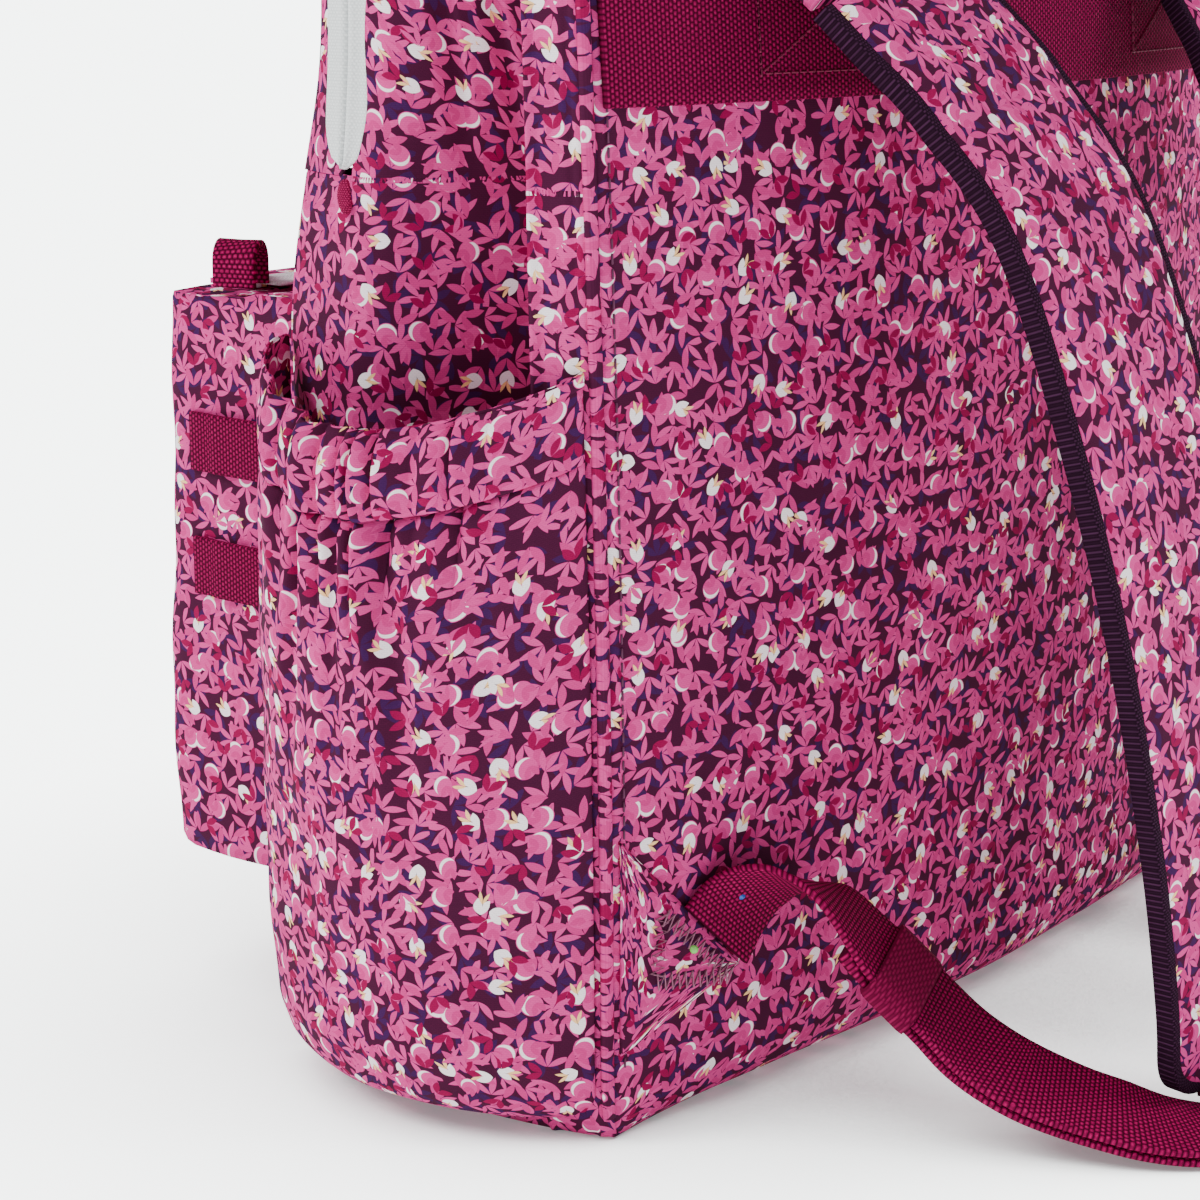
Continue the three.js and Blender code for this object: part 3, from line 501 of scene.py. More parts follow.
def carried(frames, section, closed=True):
    """A section carried along the frames. section(t) lists (across, up) in mm. The print runs along it."""
    count = len(frames) - 1
    outline = [section(i / count) for i in range(count + 1)]
    around = len(outline[0])
    bm = bmesh.new()
    bmesh.ops.create_grid(bm, x_segments=count, y_segments=around, size=0.5)
    run = [0.0]
    for a, b in zip(frames, frames[1:]):
        run.append(run[-1] + (b[0] - a[0]).length)
    uv = bm.loops.layers.uv.new("cloth_mm")
    spot = {v: (round((v.co.x + 0.5) * count), round((v.co.y + 0.5) * around) % around) for v in bm.verts}
    for face in bm.faces:
        for loop in face.loops:
            i, j = spot[loop.vert]
            loop[uv].uv = (run[i], outline[i][j][0])
    for v, (i, j) in spot.items():
        place, _, across, up = frames[i]
        a, b = outline[i][j]
        v.co = (place + across * a + up * b) * MM
    bmesh.ops.remove_doubles(bm, verts=bm.verts, dist=1e-7)
    if closed:
        rim = [e for e in bm.edges if e.is_boundary]
        bmesh.ops.holes_fill(bm, edges=rim, sides=0)
    bmesh.ops.recalc_face_normals(bm, faces=bm.faces)
    return bm


def stitches(name, line, body, thread, pitch=3.2, length=2.3, size=0.45):
    """A row of machine stitches along a line of (place, up): small raised threads, one every pitch."""
    bm = bmesh.new()
    run = 0.0
    for (a, up_a), (b, up_b) in zip(line, line[1:]):
        step = (b - a).length
        if step < 1e-6:
            continue
        along = (b - a) / step
        while run < step:
            place = a + along * run + up_a.normalized() * 0.1
            made = bmesh.ops.create_cube(bm, size=1.0)["verts"]
            side = along.cross(up_a).normalized()
            up = side.cross(along).normalized()
            for v in made:
                c = v.co.copy()
                v.co = (place + along * (c.x * length) + side * (c.y * size) + up * (c.z * size * 1.2)) * MM
            run += pitch
        run -= step
    bmesh.ops.bevel(bm, geom=list(bm.edges), offset=size * 0.3 * MM, segments=1, affect="EDGES",
                    profile=0.5, material=-1)
    return keep_piece(name, bm, thread, body)


# ------------------------------------------------------------------ body panels
def add_panels():
    def back(u, v):
        x = lerp(-SEAM_X + 0.4, SEAM_X - 0.4, u)
        z = lerp(0.6, TOP_SEAM + 0.5, v)
        p = back_at(x, z)
        edge = max(0.0, 1 - (SEAM_X - abs(x)) / 3.5)
        p.y += ripple(x, z, 1) * 0.5 * (1 - (abs(x) / SEAM_X) ** 4) - 1.6 * edge ** 2
        return p
    bm = cloth_grid(110, 120, back, (0, 0), (0, 0, 170))
    panel = keep_piece("back_panel_cloth", bm, printed, "bag", ["back_panel"], 1.4, lining)

    for name, sign in SIDES:
        def side(s, z):
            p = side_at(s, z)
            pleat = (bump_at(s, 0.52 + 0.0010 * (z - 250), 0.03) * 2.6
                     + bump_at(s, 0.43 + 0.0006 * (z - 250), 0.025) * 2.0)
            p.x += (bump_at(s, STRIP - 0.006, 0.018) * 1.3 - bump_at(s, 0.0, 0.025) * 1.6
                    - bump_at(s, 0.045, 0.012) * 0.7)
            p.x -= pleat * ease((z - 212) / 30) * (1 - ease((z - 300) / 40))
            p.x += ripple(s * 97, z, 2) * 1.3 * bump_at(s, 0.62, 0.4)
            p.x -= 2.4 * bump_at(z, 208 + 9 * (s - 0.7), 4.5) * bump_at(s, 0.66, 0.24)
            return p

        def lower(u, v):
            return side(lerp(0.0, 0.985, u), lerp(0.6, FLAP_SEAM + 0.8, v))

        def upper(u, v):
            z = lerp(FLAP_SEAM - 0.4, TOP_SEAM + 0.5, v)
            return side(side_share_at(zip_y(z) + 2.2, z) * u, z)
        bm = cloth_grid(120, 120, mirrored(lower, sign), (0, 0), (0, 0, 120))
        keep_piece(f"side_panel_cloth_{name}", bm, printed, "bag", [f"side_panel_{name}"],
                   1.2, lining)
        bm = cloth_grid(100, 70, mirrored(upper, sign), (0, FLAP_SEAM - 0.6), (0, 0, 280))
        keep_piece(f"side_panel_upper_cloth_{name}", bm, printed, "bag", (), 1.2, lining)

    def front(u, v):
        x = lerp(-SEAM_X + 0.6, SEAM_X - 0.6, u)
        z = lerp(0.6, FLAP_SEAM - 0.3, v)
        p = front_at(x, z)
        p.y -= ripple(x, z, 3) * 0.5
        return p
    bm = cloth_grid(60, 50, front, (0, 0), (0, 0, 170))
    keep_piece("front_panel_cloth", bm, printed, "bag", ["front_panel"], 1.2, lining)

    def base(u, v):
        z = 0.7
        s = lerp(1.0, 0.0, v)
        x = lerp(-1, 1, u) * (SEAM_X + 36 * s * (1 - s) - 0.5)
        y = lerp(FRONT_Y - 6 * (1 - (x / SEAM_X) ** 2),
                 back_seam_y(0) + 15 * (1 - min(abs(x) / SEAM_X, 1) ** 2), v)
        p = rounded(x, y, z)
        p.z = 0.7
        return p
    bm = cloth_grid(40, 16, base, (0, 0), (0, 0, 170))
    keep_piece("base_panel_cloth", bm, printed, "bag", ["base_panel"], 1.2, lining)


def arc_at(z, y_edge, u):
    """Round the front at height z, from the right cut at y_edge to the left one."""
    s = min(side_share_at(y_edge, z), 1.0)
    right = [side_at(lerp(s, 1, i / 8), z) for i in range(8)] if s < 1 else []
    front = [front_at(lerp(SEAM_X, -SEAM_X, i / 24), z) for i in range(25)]
    if s >= 1:
        front = [p for p in front if p.y <= y_edge] or front[12:13]
    points = right + front + [Vector((-p.x, p.y, p.z)) for p in reversed(right)]
    return walk(points, u)


def walk(points, u):
    """The place a share u of the way along a line of points."""
    lengths = [(b - a).length for a, b in zip(points, points[1:])]
    left = u * sum(lengths)
    for a, b, step in zip(points, points[1:], lengths):
        if left <= step:
            return a.lerp(b, left / step if step else 0)
        left -= step
    return points[-1].copy()


def add_flap():
    def flap(u, v):
        z = FLAP_SEAM + 0.4 + (BODY_TOP - FLAP_SEAM - 0.9) * (1 - (1 - v) ** 1.7)
        p = arc_at(z, zip_y(z) - 2.2, u)
        p.y -= ripple(p.x, z, 5) * 0.5
        return p
    bm = cloth_grid(90, 60, flap, (0, 0), (0, 20, 280))
    keep_piece("front_flap_cloth", bm, printed, "flap", ["front_flap"], 1.2, lining)

    def top(u, v):
        z = lerp(TOP_SEAM + 0.2, BODY_TOP, math.sin(math.pi / 2 * min(v / 0.6, 1)))
        edge = zip_y(z) + 2.2
        s = side_share_at(edge, z)
        right = [side_at(lerp(s, 0, i / 10), z) for i in range(10)]
        back = [back_at(lerp(SEAM_X, -SEAM_X, i / 40), z) for i in range(41)]
        points = right + back + [Vector((-p.x, p.y, p.z)) for p in reversed(right)]
        p = walk(points, u)
        if v > 0.6:
            half = points[0].x
            p = Vector((p.x, p.y, BODY_TOP)).lerp(Vector((lerp(half, -half, u), edge, BODY_TOP)),
                    min((v - 0.6) / 0.4, 1))
        return p
    bm = cloth_grid(110, 40, top, (0, 0), (0, 0, 170), gathered=True)
    keep_piece("top_panel_cloth", bm, printed, "bag", ["top_panel"], 1.2, lining)


def add_welts():
    for name, sign in SIDES:
        line = [(rounded(sign * (SEAM_X - 0.7), back_seam_y(z) - 0.7, z), Vector((1, 0, 0)))
                for z in [7.0 + i * 5.45 for i in range(61)]]
        ring = [(math.cos(a) * 1.6, math.sin(a) * 1.6) for a in [k * math.pi / 5 for k in range(10)]]
        bm = carried(strip_frames(line), lambda t: ring)
        keep_piece(f"seam_welt_cloth_{name}", bm, printed, "bag", [f"seam_welt_{name}"])


# ------------------------------------------------------------------ main zip
def zip_line():
    """The main zip's middle line, from its right end up over the top to its left end."""
    right = []
    for i in range(60):
        z = FLAP_SEAM + 2 + (BODY_TOP - FLAP_SEAM - 2) * math.sin(math.pi / 2 * i / 59)
        s = side_share_at(zip_y(z), z)
        if s <= 1:
            right.append(side_at(max(s, 0), z))
    edge = right[-1].x
    top = [Vector((lerp(edge, -edge, i / 60), ZIP_Y, BODY_TOP)) for i in range(1, 60)]
    left = [Vector((-p.x, p.y, p.z)) for p in reversed(right)]
    points = right + top + left
    return [walk(points, i / 220) for i in range(221)]


def add_main_zip():
    line = zip_line()
    for name, body, sign in (("front", "flap", -1), ("rear", "bag", 1)):
        places = []
        for i, p in enumerate(line):
            along = (line[min(i + 1, 220)] - line[max(i - 1, 0)]).normalized()
            out = Vector((0, 1, 0)).cross(along).normalized()
            if out.dot(p - Vector((0, ZIP_Y, 200))) < 0:
                out.negate()
            places.append((p + out * 0.9 + Vector((0, sign * 3.5, 0)), Vector((0, sign, 0))))
        tape = [(-3.3, 0.1), (-3.0, 1.1), (-2.1, 1.5), (-1.2, 1.2), (-0.4, 0.7), (1.4, 0.6), (3.0, 0.5),
                (3.3, 0.2), (3.3, -0.4), (-3.3, -0.4)]
        frames = strip_frames(places)
        for i, f in enumerate(frames):
            up = f[3]
            if up.dot(f[0] - Vector((0, ZIP_Y, 200))) < 0:
                frames[i] = (f[0], f[1], f[2], -up)

        def tucked(t):
            """The tape's section, drawn in to a rounded tip at each end."""
            tip = min(min(t, 1 - t) * 220 / 5, 1)
            share = math.sqrt(1 - (1 - tip) ** 2) * 0.98 + 0.02
            return [(lerp(-3.3, a, share), b) for a, b in tape]
        bm = carried(frames, tucked)
        keep_piece(f"main_zip_tape_{name}_woven", bm, zip_tape, body, [f"main_zip_tape_{name}"])
    for name, sign in SIDES:
        bm = bmesh.new()
        bmesh.ops.create_uvsphere(bm, u_segments=16, v_segments=10, radius=1.0)
        uv = bm.loops.layers.uv.new("cloth_mm")
        for face in bm.faces:
            for loop in face.loops:
                loop[uv].uv = (loop.vert.co.z * 4, loop.vert.co.y * 3)
        p = side_at(side_share_at(zip_y(211), 211), 211)
        for v in bm.verts:
            c = v.co
            v.co = Vector((sign * (p.x + 0.2 + c.x * 1.3), zip_y(211) + c.y * 2.3, 212 + c.z * 4.0)) * MM
        bmesh.ops.recalc_face_normals(bm, faces=bm.faces)
        keep_piece(f"zip_bartack_thread_{name}", bm, crimson_thread, "bag",
                   [f"zip_bartack_{name}"])


# ------------------------------------------------------------------ bottle pockets
POCKET_SHARE = [(2, 0.1), (4, 0.45), (7, 0.62), (10, 0.7), (22, 0.84), (45, 0.94), (80, 0.99), (115, 1),
                (145, 0.98), (156, 0.95), (180, 0.87)]


HEM_HIGH = 18.5       # the elastic casing along the pocket's top edge


def pocket_top(s):
    return 177.5 - 13.5 * math.sin(math.pi * s) ** 0.75


def pocket_at(s, z, out=0.0):
    """A place on the right bottle pocket: s is 0 at the front seam and 1 at the back seam."""
    bulge = math.sin(math.pi * min(max(s, 0.0), 1.0)) ** lerp(0.42, 0.8, ease(s * 1.6))
    x = 144 + (33.5 * through(POCKET_SHARE, z) + out) * bulge
    y = lerp(-44, back_seam_y(z) - 2.2, s)
    inset = through(EDGES, z, 1) * (1 - 0.6 * bulge)
    return Vector((x - inset, MIDDLE_Y + (y - MIDDLE_Y) * (1 - through(EDGES, z, 2) / 50), z))


def gathers(s):
    """Uneven pleats that the elastic pulls into the cloth: broad ridges with narrow valleys between them."""
    turns = 12.5 * s + 0.4 * math.sin(9 * s + 1) + 0.2 * math.sin(23 * s)
    height = 0.8 + 0.35 * math.sin(31 * s + 2)
    return abs(math.sin(math.pi * turns)) ** 0.6 * height * ease(s / 0.1) * ease((1 - s) / 0.1)


def add_bottle_pockets():
    for name, sign in SIDES:
        def wall(u, v):
            top = pocket_top(u) - HEM_HIGH
            z = lerp(3.2, top, v)
            fade = ease((z - 60) / 90)
            drape = (bump_at(u + 0.0012 * (top - z), 0.36, 0.05) * 2.0
                     + bump_at(u - 0.0010 * (top - z), 0.62, 0.06) * 2.4
                     + bump_at(u + 0.0006 * (top - z), 0.5, 0.04) * 1.2 + bump_at(u - 0.0018 * (top - z),
                             0.78, 0.05) * 1.3)
            out = (gathers(u) - 0.7) * 4.2 * ease((z - top
                    + 40) / 40) - drape * 2.6 * fade + ripple(u * 110, z,
                            7) * 1.8
            return pocket_at(u, z, out - 1.8 * ease((z - top + 4) / 4))
        bm = cloth_grid(260, 100, mirrored(wall, sign), (0, 0), (100 * sign, 0, 90), gathered=True)
        keep_piece(f"bottle_pocket_cloth_{name}", bm, printed, "bag",
                   [f"bottle_pocket_{name}"], 1.0, printed)

        def hem(u, v):
            top = pocket_top(u)
            low = top - HEM_HIGH
            if v < 0.8:
                t = v / 0.8
                z = lerp(low, top, t)
                out = (gathers(u) - 0.7) * (4.2 + 0.8 * t) + 2.4 * math.sin(math.pi * min(t * 1.05,
                        1)) ** 0.5 - 0.6
            else:
                t = (v - 0.8) / 0.2
                z = top + 1.2 * math.sin(math.pi * t) - 4 * max(0, t - 0.5)
                out = (gathers(u) - 0.7) * 5.0 - 0.6 - 3.6 * t
            return pocket_at(u, z, out)
        bm = cloth_grid(280, 36, mirrored(hem, sign), (4, 152), (100 * sign, 0, 165), gathered=True)
        keep_piece(f"pocket_hem_cloth_{name}", bm, printed, "bag", [f"pocket_hem_{name}"],
                   0.9, printed)


# ------------------------------------------------------------------ front pocket
POCKET_WIDE, POCKET_LOW, POCKET_HIGH = 258.0, 38.0, 184.0
POCKET_FRONT_Y = -107.0
MOUTH_HALF = 113.6    # half the length of the zipped opening
SLIDER_ROOM = 1.5     # the pocket's top lies this much lower where its zip slider runs


def add_front_pocket():
    bm = bmesh.new()
    bmesh.ops.create_cube(bm, size=1.0)
    bmesh.ops.scale(bm, vec=(POCKET_WIDE * MM, (FRONT_Y - POCKET_FRONT_Y) * MM,
                             (POCKET_HIGH - POCKET_LOW) * MM), verts=bm.verts)
    bmesh.ops.translate(bm, vec=(0, (FRONT_Y + POCKET_FRONT_Y) / 2 * MM,
            (POCKET_LOW + POCKET_HIGH) / 2 * MM), verts=bm.verts)
    bmesh.ops.bevel(bm, geom=[e for e in bm.edges if e.calc_length() > 0.1
                              or all(v.co.y < -0.08 for v in e.verts)],
                    offset=12 * MM, segments=6, affect="EDGES", profile=0.5, material=-1)
    bmesh.ops.delete(bm, geom=[f for f in bm.faces if f.calc_center_median().y > -0.0455], context="FACES")
    bmesh.ops.triangulate(bm, faces=[f for f in bm.faces if len(f.verts) > 4])
    spans = ((50, -POCKET_WIDE / 2, POCKET_WIDE / 2), (10, POCKET_FRONT_Y, FRONT_Y), (30, POCKET_LOW, POCKET_HIGH))
    for axis, (cuts, low, high) in enumerate(spans):
        for i in range(1, cuts):
            at = Vector((0, 0, 0))
            at[axis] = lerp(low, high, i / cuts) * MM
            normal = Vector((0, 0, 0))
            normal[axis] = 1
            bmesh.ops.bisect_plane(bm, geom=bm.verts[:] + bm.edges[:] + bm.faces[:], dist=1e-6, plane_co=at,
                                   plane_no=normal)
    opening = []
    for face in bm.faces:
        middle = face.calc_center_median() / MM
        if middle.z > POCKET_HIGH - 0.5 and -100 < middle.y < -86.8 and abs(middle.x) < MOUTH_HALF:
            opening.append(face)
    bmesh.ops.delete(bm, geom=opening, context="FACES")
    bm.normal_update()
    uv = bm.loops.layers.uv.new("cloth_mm")
    for face in bm.faces:
        n = face.normal
        main = max(range(3), key=lambda k: abs(n[k]))
        for loop in face.loops:
            c = loop.vert.co * 1000
            loop[uv].uv = ((c.y, c.z), (c.x, c.z), (c.x, c.y))[main]
    for v in bm.verts:
        c = v.co * 1000
        wave = ripple(c.x + c.y, c.z, 11)
        v.co += v.normal * (wave * 1.3 * MM)
        if c.z > 183 and c.y < -72:
            v.co.z -= SLIDER_ROOM * MM
        away = min(max((-45 - c.y) / 62, 0.0), 1.0)
        low = min(max((184 - c.z) / 146, 0.0), 1.0)
        v.co.y -= (1.0 + 3.5 * ease(low * 1.4)) * away * MM
        v.co.x += math.copysign(1.5 * math.sin(math.pi * low) * away * MM, c.x) * min(abs(c.x) / 129, 1)
    keep_piece("front_pocket_cloth", bm, printed, "bag", ["front_pocket"], 1.4, lining)

    def mouth(u, v):
        x = lerp(-MOUTH_HALF, MOUTH_HALF, u)
        return Vector((x, lerp(-103.6, -87.0, v), 184.2 + 0.5 * math.sin(math.pi * v)))
    bm = cloth_grid(50, 6, mouth, (0, 0), (0, -90, 100))
    keep_piece("front_pocket_mouth_cloth", bm, printed, "pocket_lid",
               ["front_pocket_mouth"], 1.4, lining)


def add_pocket_trim():
    for name, body, sign in (("front", "pocket_lid", -1), ("rear", "bag", 1)):
        line = [(Vector((lerp(-114, 114, i / 60), -84 + sign * 3.4, 184.6)), Vector((0, sign, 0)))
                for i in range(61)]
        tape = [(-3.3, 0.1), (-3.0, 1.1), (-2.1, 1.5), (-1.2, 1.2), (-0.4, 0.7), (1.4, 0.6), (3.0, 0.5),
                (3.3, 0.2), (3.3, -0.4), (-3.3, -0.4)]
        frames = [(p, a, c, Vector((0, 0, 1))) for p, a, c, _ in strip_frames(line)]
        bm = carried(frames, lambda t: tape)
        keep_piece(f"pocket_zip_tape_{name}_woven", bm, zip_tape, body,
                   [f"pocket_zip_tape_{name}"])
    for name, sign in SIDES:
        loop = []
        for i in range(33):
            t = i / 32
            if t < 0.28:
                p = (5.2, lerp(0, 5.6, t / 0.28))
            elif t > 0.72:
                p = (-5.2, lerp(5.6, 0, (t - 0.72) / 0.28))
            else:
                a = math.pi * (t - 0.28) / 0.44
                p = (5.2 * math.cos(a), 5.6 + 5.0 * math.sin(a))
            loop.append((Vector((sign * (121 + p[0] * 0.9), -84 + p[0] * 0.5, 184.6 + p[1])),
                         Vector((-0.3 * sign, 1, 0))))
        bm = carried(strip_frames(loop), lambda t: flat_section(12, 1.5))
        keep_piece(f"zip_loop_webbing_{name}", bm, webbing, "bag", [f"zip_loop_{name}"])
        for level, z in (("lower", 113.5), ("upper", 145.5)):
            line = [(Vector((sign * (129.9 + (0.9 if 2 < i < 14 else 0.2)), lerp(-94, -46, i / 16), z)),
                     Vector((0, 0, 1))) for i in range(17)]
            bm = carried(strip_frames(line), lambda t: flat_section(15, 1.5, 8))
            keep_piece(f"side_band_{level}_{name}_webbing", bm, ribbed_band, "bag",
                       [f"side_band_{level}_{name}"])


# ------------------------------------------------------------------ trim on the back panel
def add_back_trim():
    line = [(back_at(lerp(-SEAM_X + 3, SEAM_X - 3, i / 70), 254) + Vector((0, 1.1, 0)), Vector((0, 0, 1)))
            for i in range(71)]
    frames = strip_frames(line)
    bm = carried(frames, lambda t: flat_section(40, 1.7, 14))
    for v in bm.verts:
        z = v.co.z * 1000
        v.co.y += (back_at(0, z).y - back_at(0, 254).y) * MM
    keep_piece("strap_band_webbing", bm, ribbed_band, "bag", ["strap_band"])
    for name, sign in SIDES:
        seam = []
        for i in range(120):
            p = back_at(sign * (SEAM_X - 4.5), lerp(20, 330, i / 119))
            seam.append((p + Vector((0, 0.25, 0)), Vector((0, 1, 0))))
        stitches(f"back_seam_thread_{name}", seam, "bag", plum_thread)
        box = [(52, 240), (98, 240), (98, 268), (52, 268), (52, 240), (98, 268), (98, 240), (52, 268)]
        path = []
        for (ax, az), (bx, bz) in zip(box, box[1:]):
            for k in range(12):
                x, z = lerp(ax, bx, k / 12), lerp(az, bz, k / 12)
                p = back_at(x * sign, 254)
                p.y += back_at(0, z).y - back_at(0, 254).y + 2.0
                path.append((Vector((p.x, p.y, z)), Vector((0, 1, 0))))
        stitches(f"band_box_thread_{name}", path, "bag", crimson_stitch, 2.6, 2.0, 0.4)
        corners = [(139, 73), (121, 54), (104, 36), (139, 22)]

        def tab(u, v):
            near, upper, far, lower = [Vector(c) for c in corners]
            if u < 0.5:
                q = near.lerp(upper, u * 2).lerp(near.lerp(lower, u * 2), v)
            else:
                q = upper.lerp(far, u * 2 - 1).lerp(lower.lerp(far, u * 2 - 1), v)
            p = back_at(q.x, q.y)
            p.y += 1.5 - 0.8 * max(0, 1 - 6 * min(u, 1 - u, v, 1 - v))
            return p
        bm = cloth_grid(40, 24, mirrored(tab, sign), (30, 60), (0, 0, 60))
        bmesh.ops.remove_doubles(bm, verts=bm.verts, dist=1e-6)
        keep_piece(f"strap_tab_cloth_{name}", bm, printed, "bag", [f"strap_tab_{name}"],
                   1.0, printed)
        # dense zigzag stitching that holds the webbing under the tab
        ends = [Vector((128.6, 54)), Vector((130.3, 38.2)), Vector((107.9, 34.3))]
        zigzag = []
        for a, b in ((0, 1), (1, 2), (2, 0)):
            step = ends[b] - ends[a]
            side = Vector((-step.y, step.x)).normalized()
            count = int(step.length / 1.0)
            for k in range(count):
                q = ends[a] + step * (k / count) + side * (1.9 if k % 2 else -1.9)
                p = back_at(q.x, q.y) + Vector((0, 2.0, 0))
                zigzag.append((Vector((p.x * sign, p.y, p.z)), Vector((0, 1, 0.2))))
        ring = [(math.cos(k * math.pi / 3) * 0.26, math.sin(k * math.pi / 3) * 0.26) for k in range(6)]
        frames = []
        for i, (p, up) in enumerate(zigzag):
            along = (zigzag[min(i + 1, len(zigzag) - 1)][0] - zigzag[max(i - 1, 0)][0]).normalized()
            frames.append((p, along, along.cross(Vector((0, 1, 0))).normalized(), Vector((0, 1, 0))))
        bm = carried(frames, lambda t: ring)
        keep_piece(f"tab_zigzag_thread_{name}", bm, mauve_thread, "bag")


def bead(name, place, radius, material, body):
    bm = bmesh.new()
    bmesh.ops.create_icosphere(bm, subdivisions=3, radius=radius * MM)
    bmesh.ops.translate(bm, vec=Vector(place) * MM, verts=bm.verts)
    keep_piece(name, bm, material, body)


# ------------------------------------------------------------------ straps
WEBBING_WIDE, WEBBING_THICK = 25, 1.6
# where each strap and its webbing run on the right side, as (place, across)
STRAP_STOPS = [((73.5, 75, 260.5), (-1, .1, 0)), ((70, 84, 250), (-1, .07, 0)),
               ((64, 97, 234.5), (-1, .03, 0)),
               ((56.5, 114, 208), (-1, 0, 0)), ((51, 129, 165), (-1, 0, 0)), ((45.5, 140.5, 118), (-1, 0, 0)),
               ((41, 146.5, 74), (-1, 0, 0)), ((37, 148.5, 34), (-1, 0, 0)), ((35, 147.5, 11), (-1, 0, 0))]
WEBBING_STOPS = [((113.3, 60.9, 45.4), (-.69, .17, -.7)), ((108.1, 61.9, 50.8), (-.7, .06, -.7)),
                 ((104, 65.2, 55.2), (-.76, -.12, -.64)),
                 ((101.2, 70.3, 57.7), (-.81, -.27, -.53)), ((98.5, 77.3, 57.5), (-.86, -.4, -.31)),
                 ((96.5, 83.5, 54.3), (-.91, -.39, -.11)), ((92.9, 92, 44.2),
                         (-.93, -.35, .1)), ((89.5, 98.2, 37.2),
                                 (-.93, -.32, .19)),
                 ((86.1, 104.4, 30.2), (-.93, -.32, .19)), ((82.8, 112, 22.8),
                         (-.96, -.24, .17)), ((79.4, 122.3, 17.2),
                                 (-.98, -.15, .14)),
                 ((73.4, 132.6, 12.5), (-.96, -.22, .14)), ((67.5, 142.5, 9.3),
                         (-.93, -.32, .14)), ((60.8, 150.5, 6.5),
                                 (-.86, -.5, .1)),
                 ((53.8, 157, 4.9), (-.76, -.65, .05)), ((47, 162.3, 4.2),
                         (-.68, -.73, 0)), ((41, 166.6, 4.1),
                                 (-.64, -.77, 0))]


def turned(stops, sign):
    return [((p[0] * sign, p[1], p[2]), (a[0] * sign, a[1], a[2])) for p, a in stops]


def strap_half(t):
    """Half of the strap's width: full, narrower towards its rounded end."""
    half = 30 - 8 * ease((t - 0.6) / 0.4)
    end = max(0.0, (t - 0.92) / 0.08)
    return half * math.sqrt(max(0.0, 1 - 0.93 * end ** 2))


def add_straps():
    for name, sign in SIDES:
        line = curve_through(turned(STRAP_STOPS, sign), 150)
        frames = strip_frames(line)

        def section(t):
            half = strap_half(t) - 0.6
            thick = lerp(9, 5.5, ease(t * 1.2 - 0.2))
            top = []
            for i in range(25):
                a = lerp(-1, 1, i / 24)
                top.append((a * half, 1.5 + (thick / 2 - 1.5) * (1 - abs(a) ** 5) ** 0.8
                            + 0.25 * math.sin(t * 70) * (1 - a * a)))
            return top + [(a, -b) for a, b in reversed(top)]
        bm = carried(frames, section)
        strap = keep_piece(f"shoulder_strap_cloth_{name}", bm, printed, f"strap_{name}",
                           [f"shoulder_strap_{name}"])

        edge = []
        for i in range(151):
            place, along, across, up = frames[i]
            edge.append((place + across * -(strap_half(i / 150) - 1.6), across, up))
        for i in range(150, -1, -1):
            place, along, across, up = frames[i]
            edge.append((place + across * (strap_half(i / 150) - 1.6), across, up))
        bound = []
        for i, (p, _, up) in enumerate(edge):
            along = (edge[min(i + 1, len(edge) - 1)][0] - edge[max(i - 1, 0)][0]).normalized()
            side = up.cross(along).normalized()
            bound.append((p, along, side, up))
        bm = carried(bound, lambda t: [(-2.3, 2.0), (-1.6, 2.4), (0.6, 2.4), (1.9, 1.7), (2.4, 0),
                (1.9, -1.7), (0.6, -2.4), (-1.6, -2.4), (-2.3, -2.0)])
        keep_piece(f"strap_binding_{name}", bm, knit_binding, f"strap_{name}")

        root = [((75, 57, 271), (-1, .12, 0)), ((75, 62, 271), (-1, .12, 0)),
                ((75, 68, 267.5), (-1, .12, 0)), ((73.5, 75, 260.5), (-1, .1, 0))]
        bm = carried(strip_frames(curve_through(turned(root, sign), 16)), lambda t: flat_section(59, 6, 10))
        keep_piece(f"strap_root_cloth_{name}", bm, printed, "bag", [f"strap_root_{name}"])


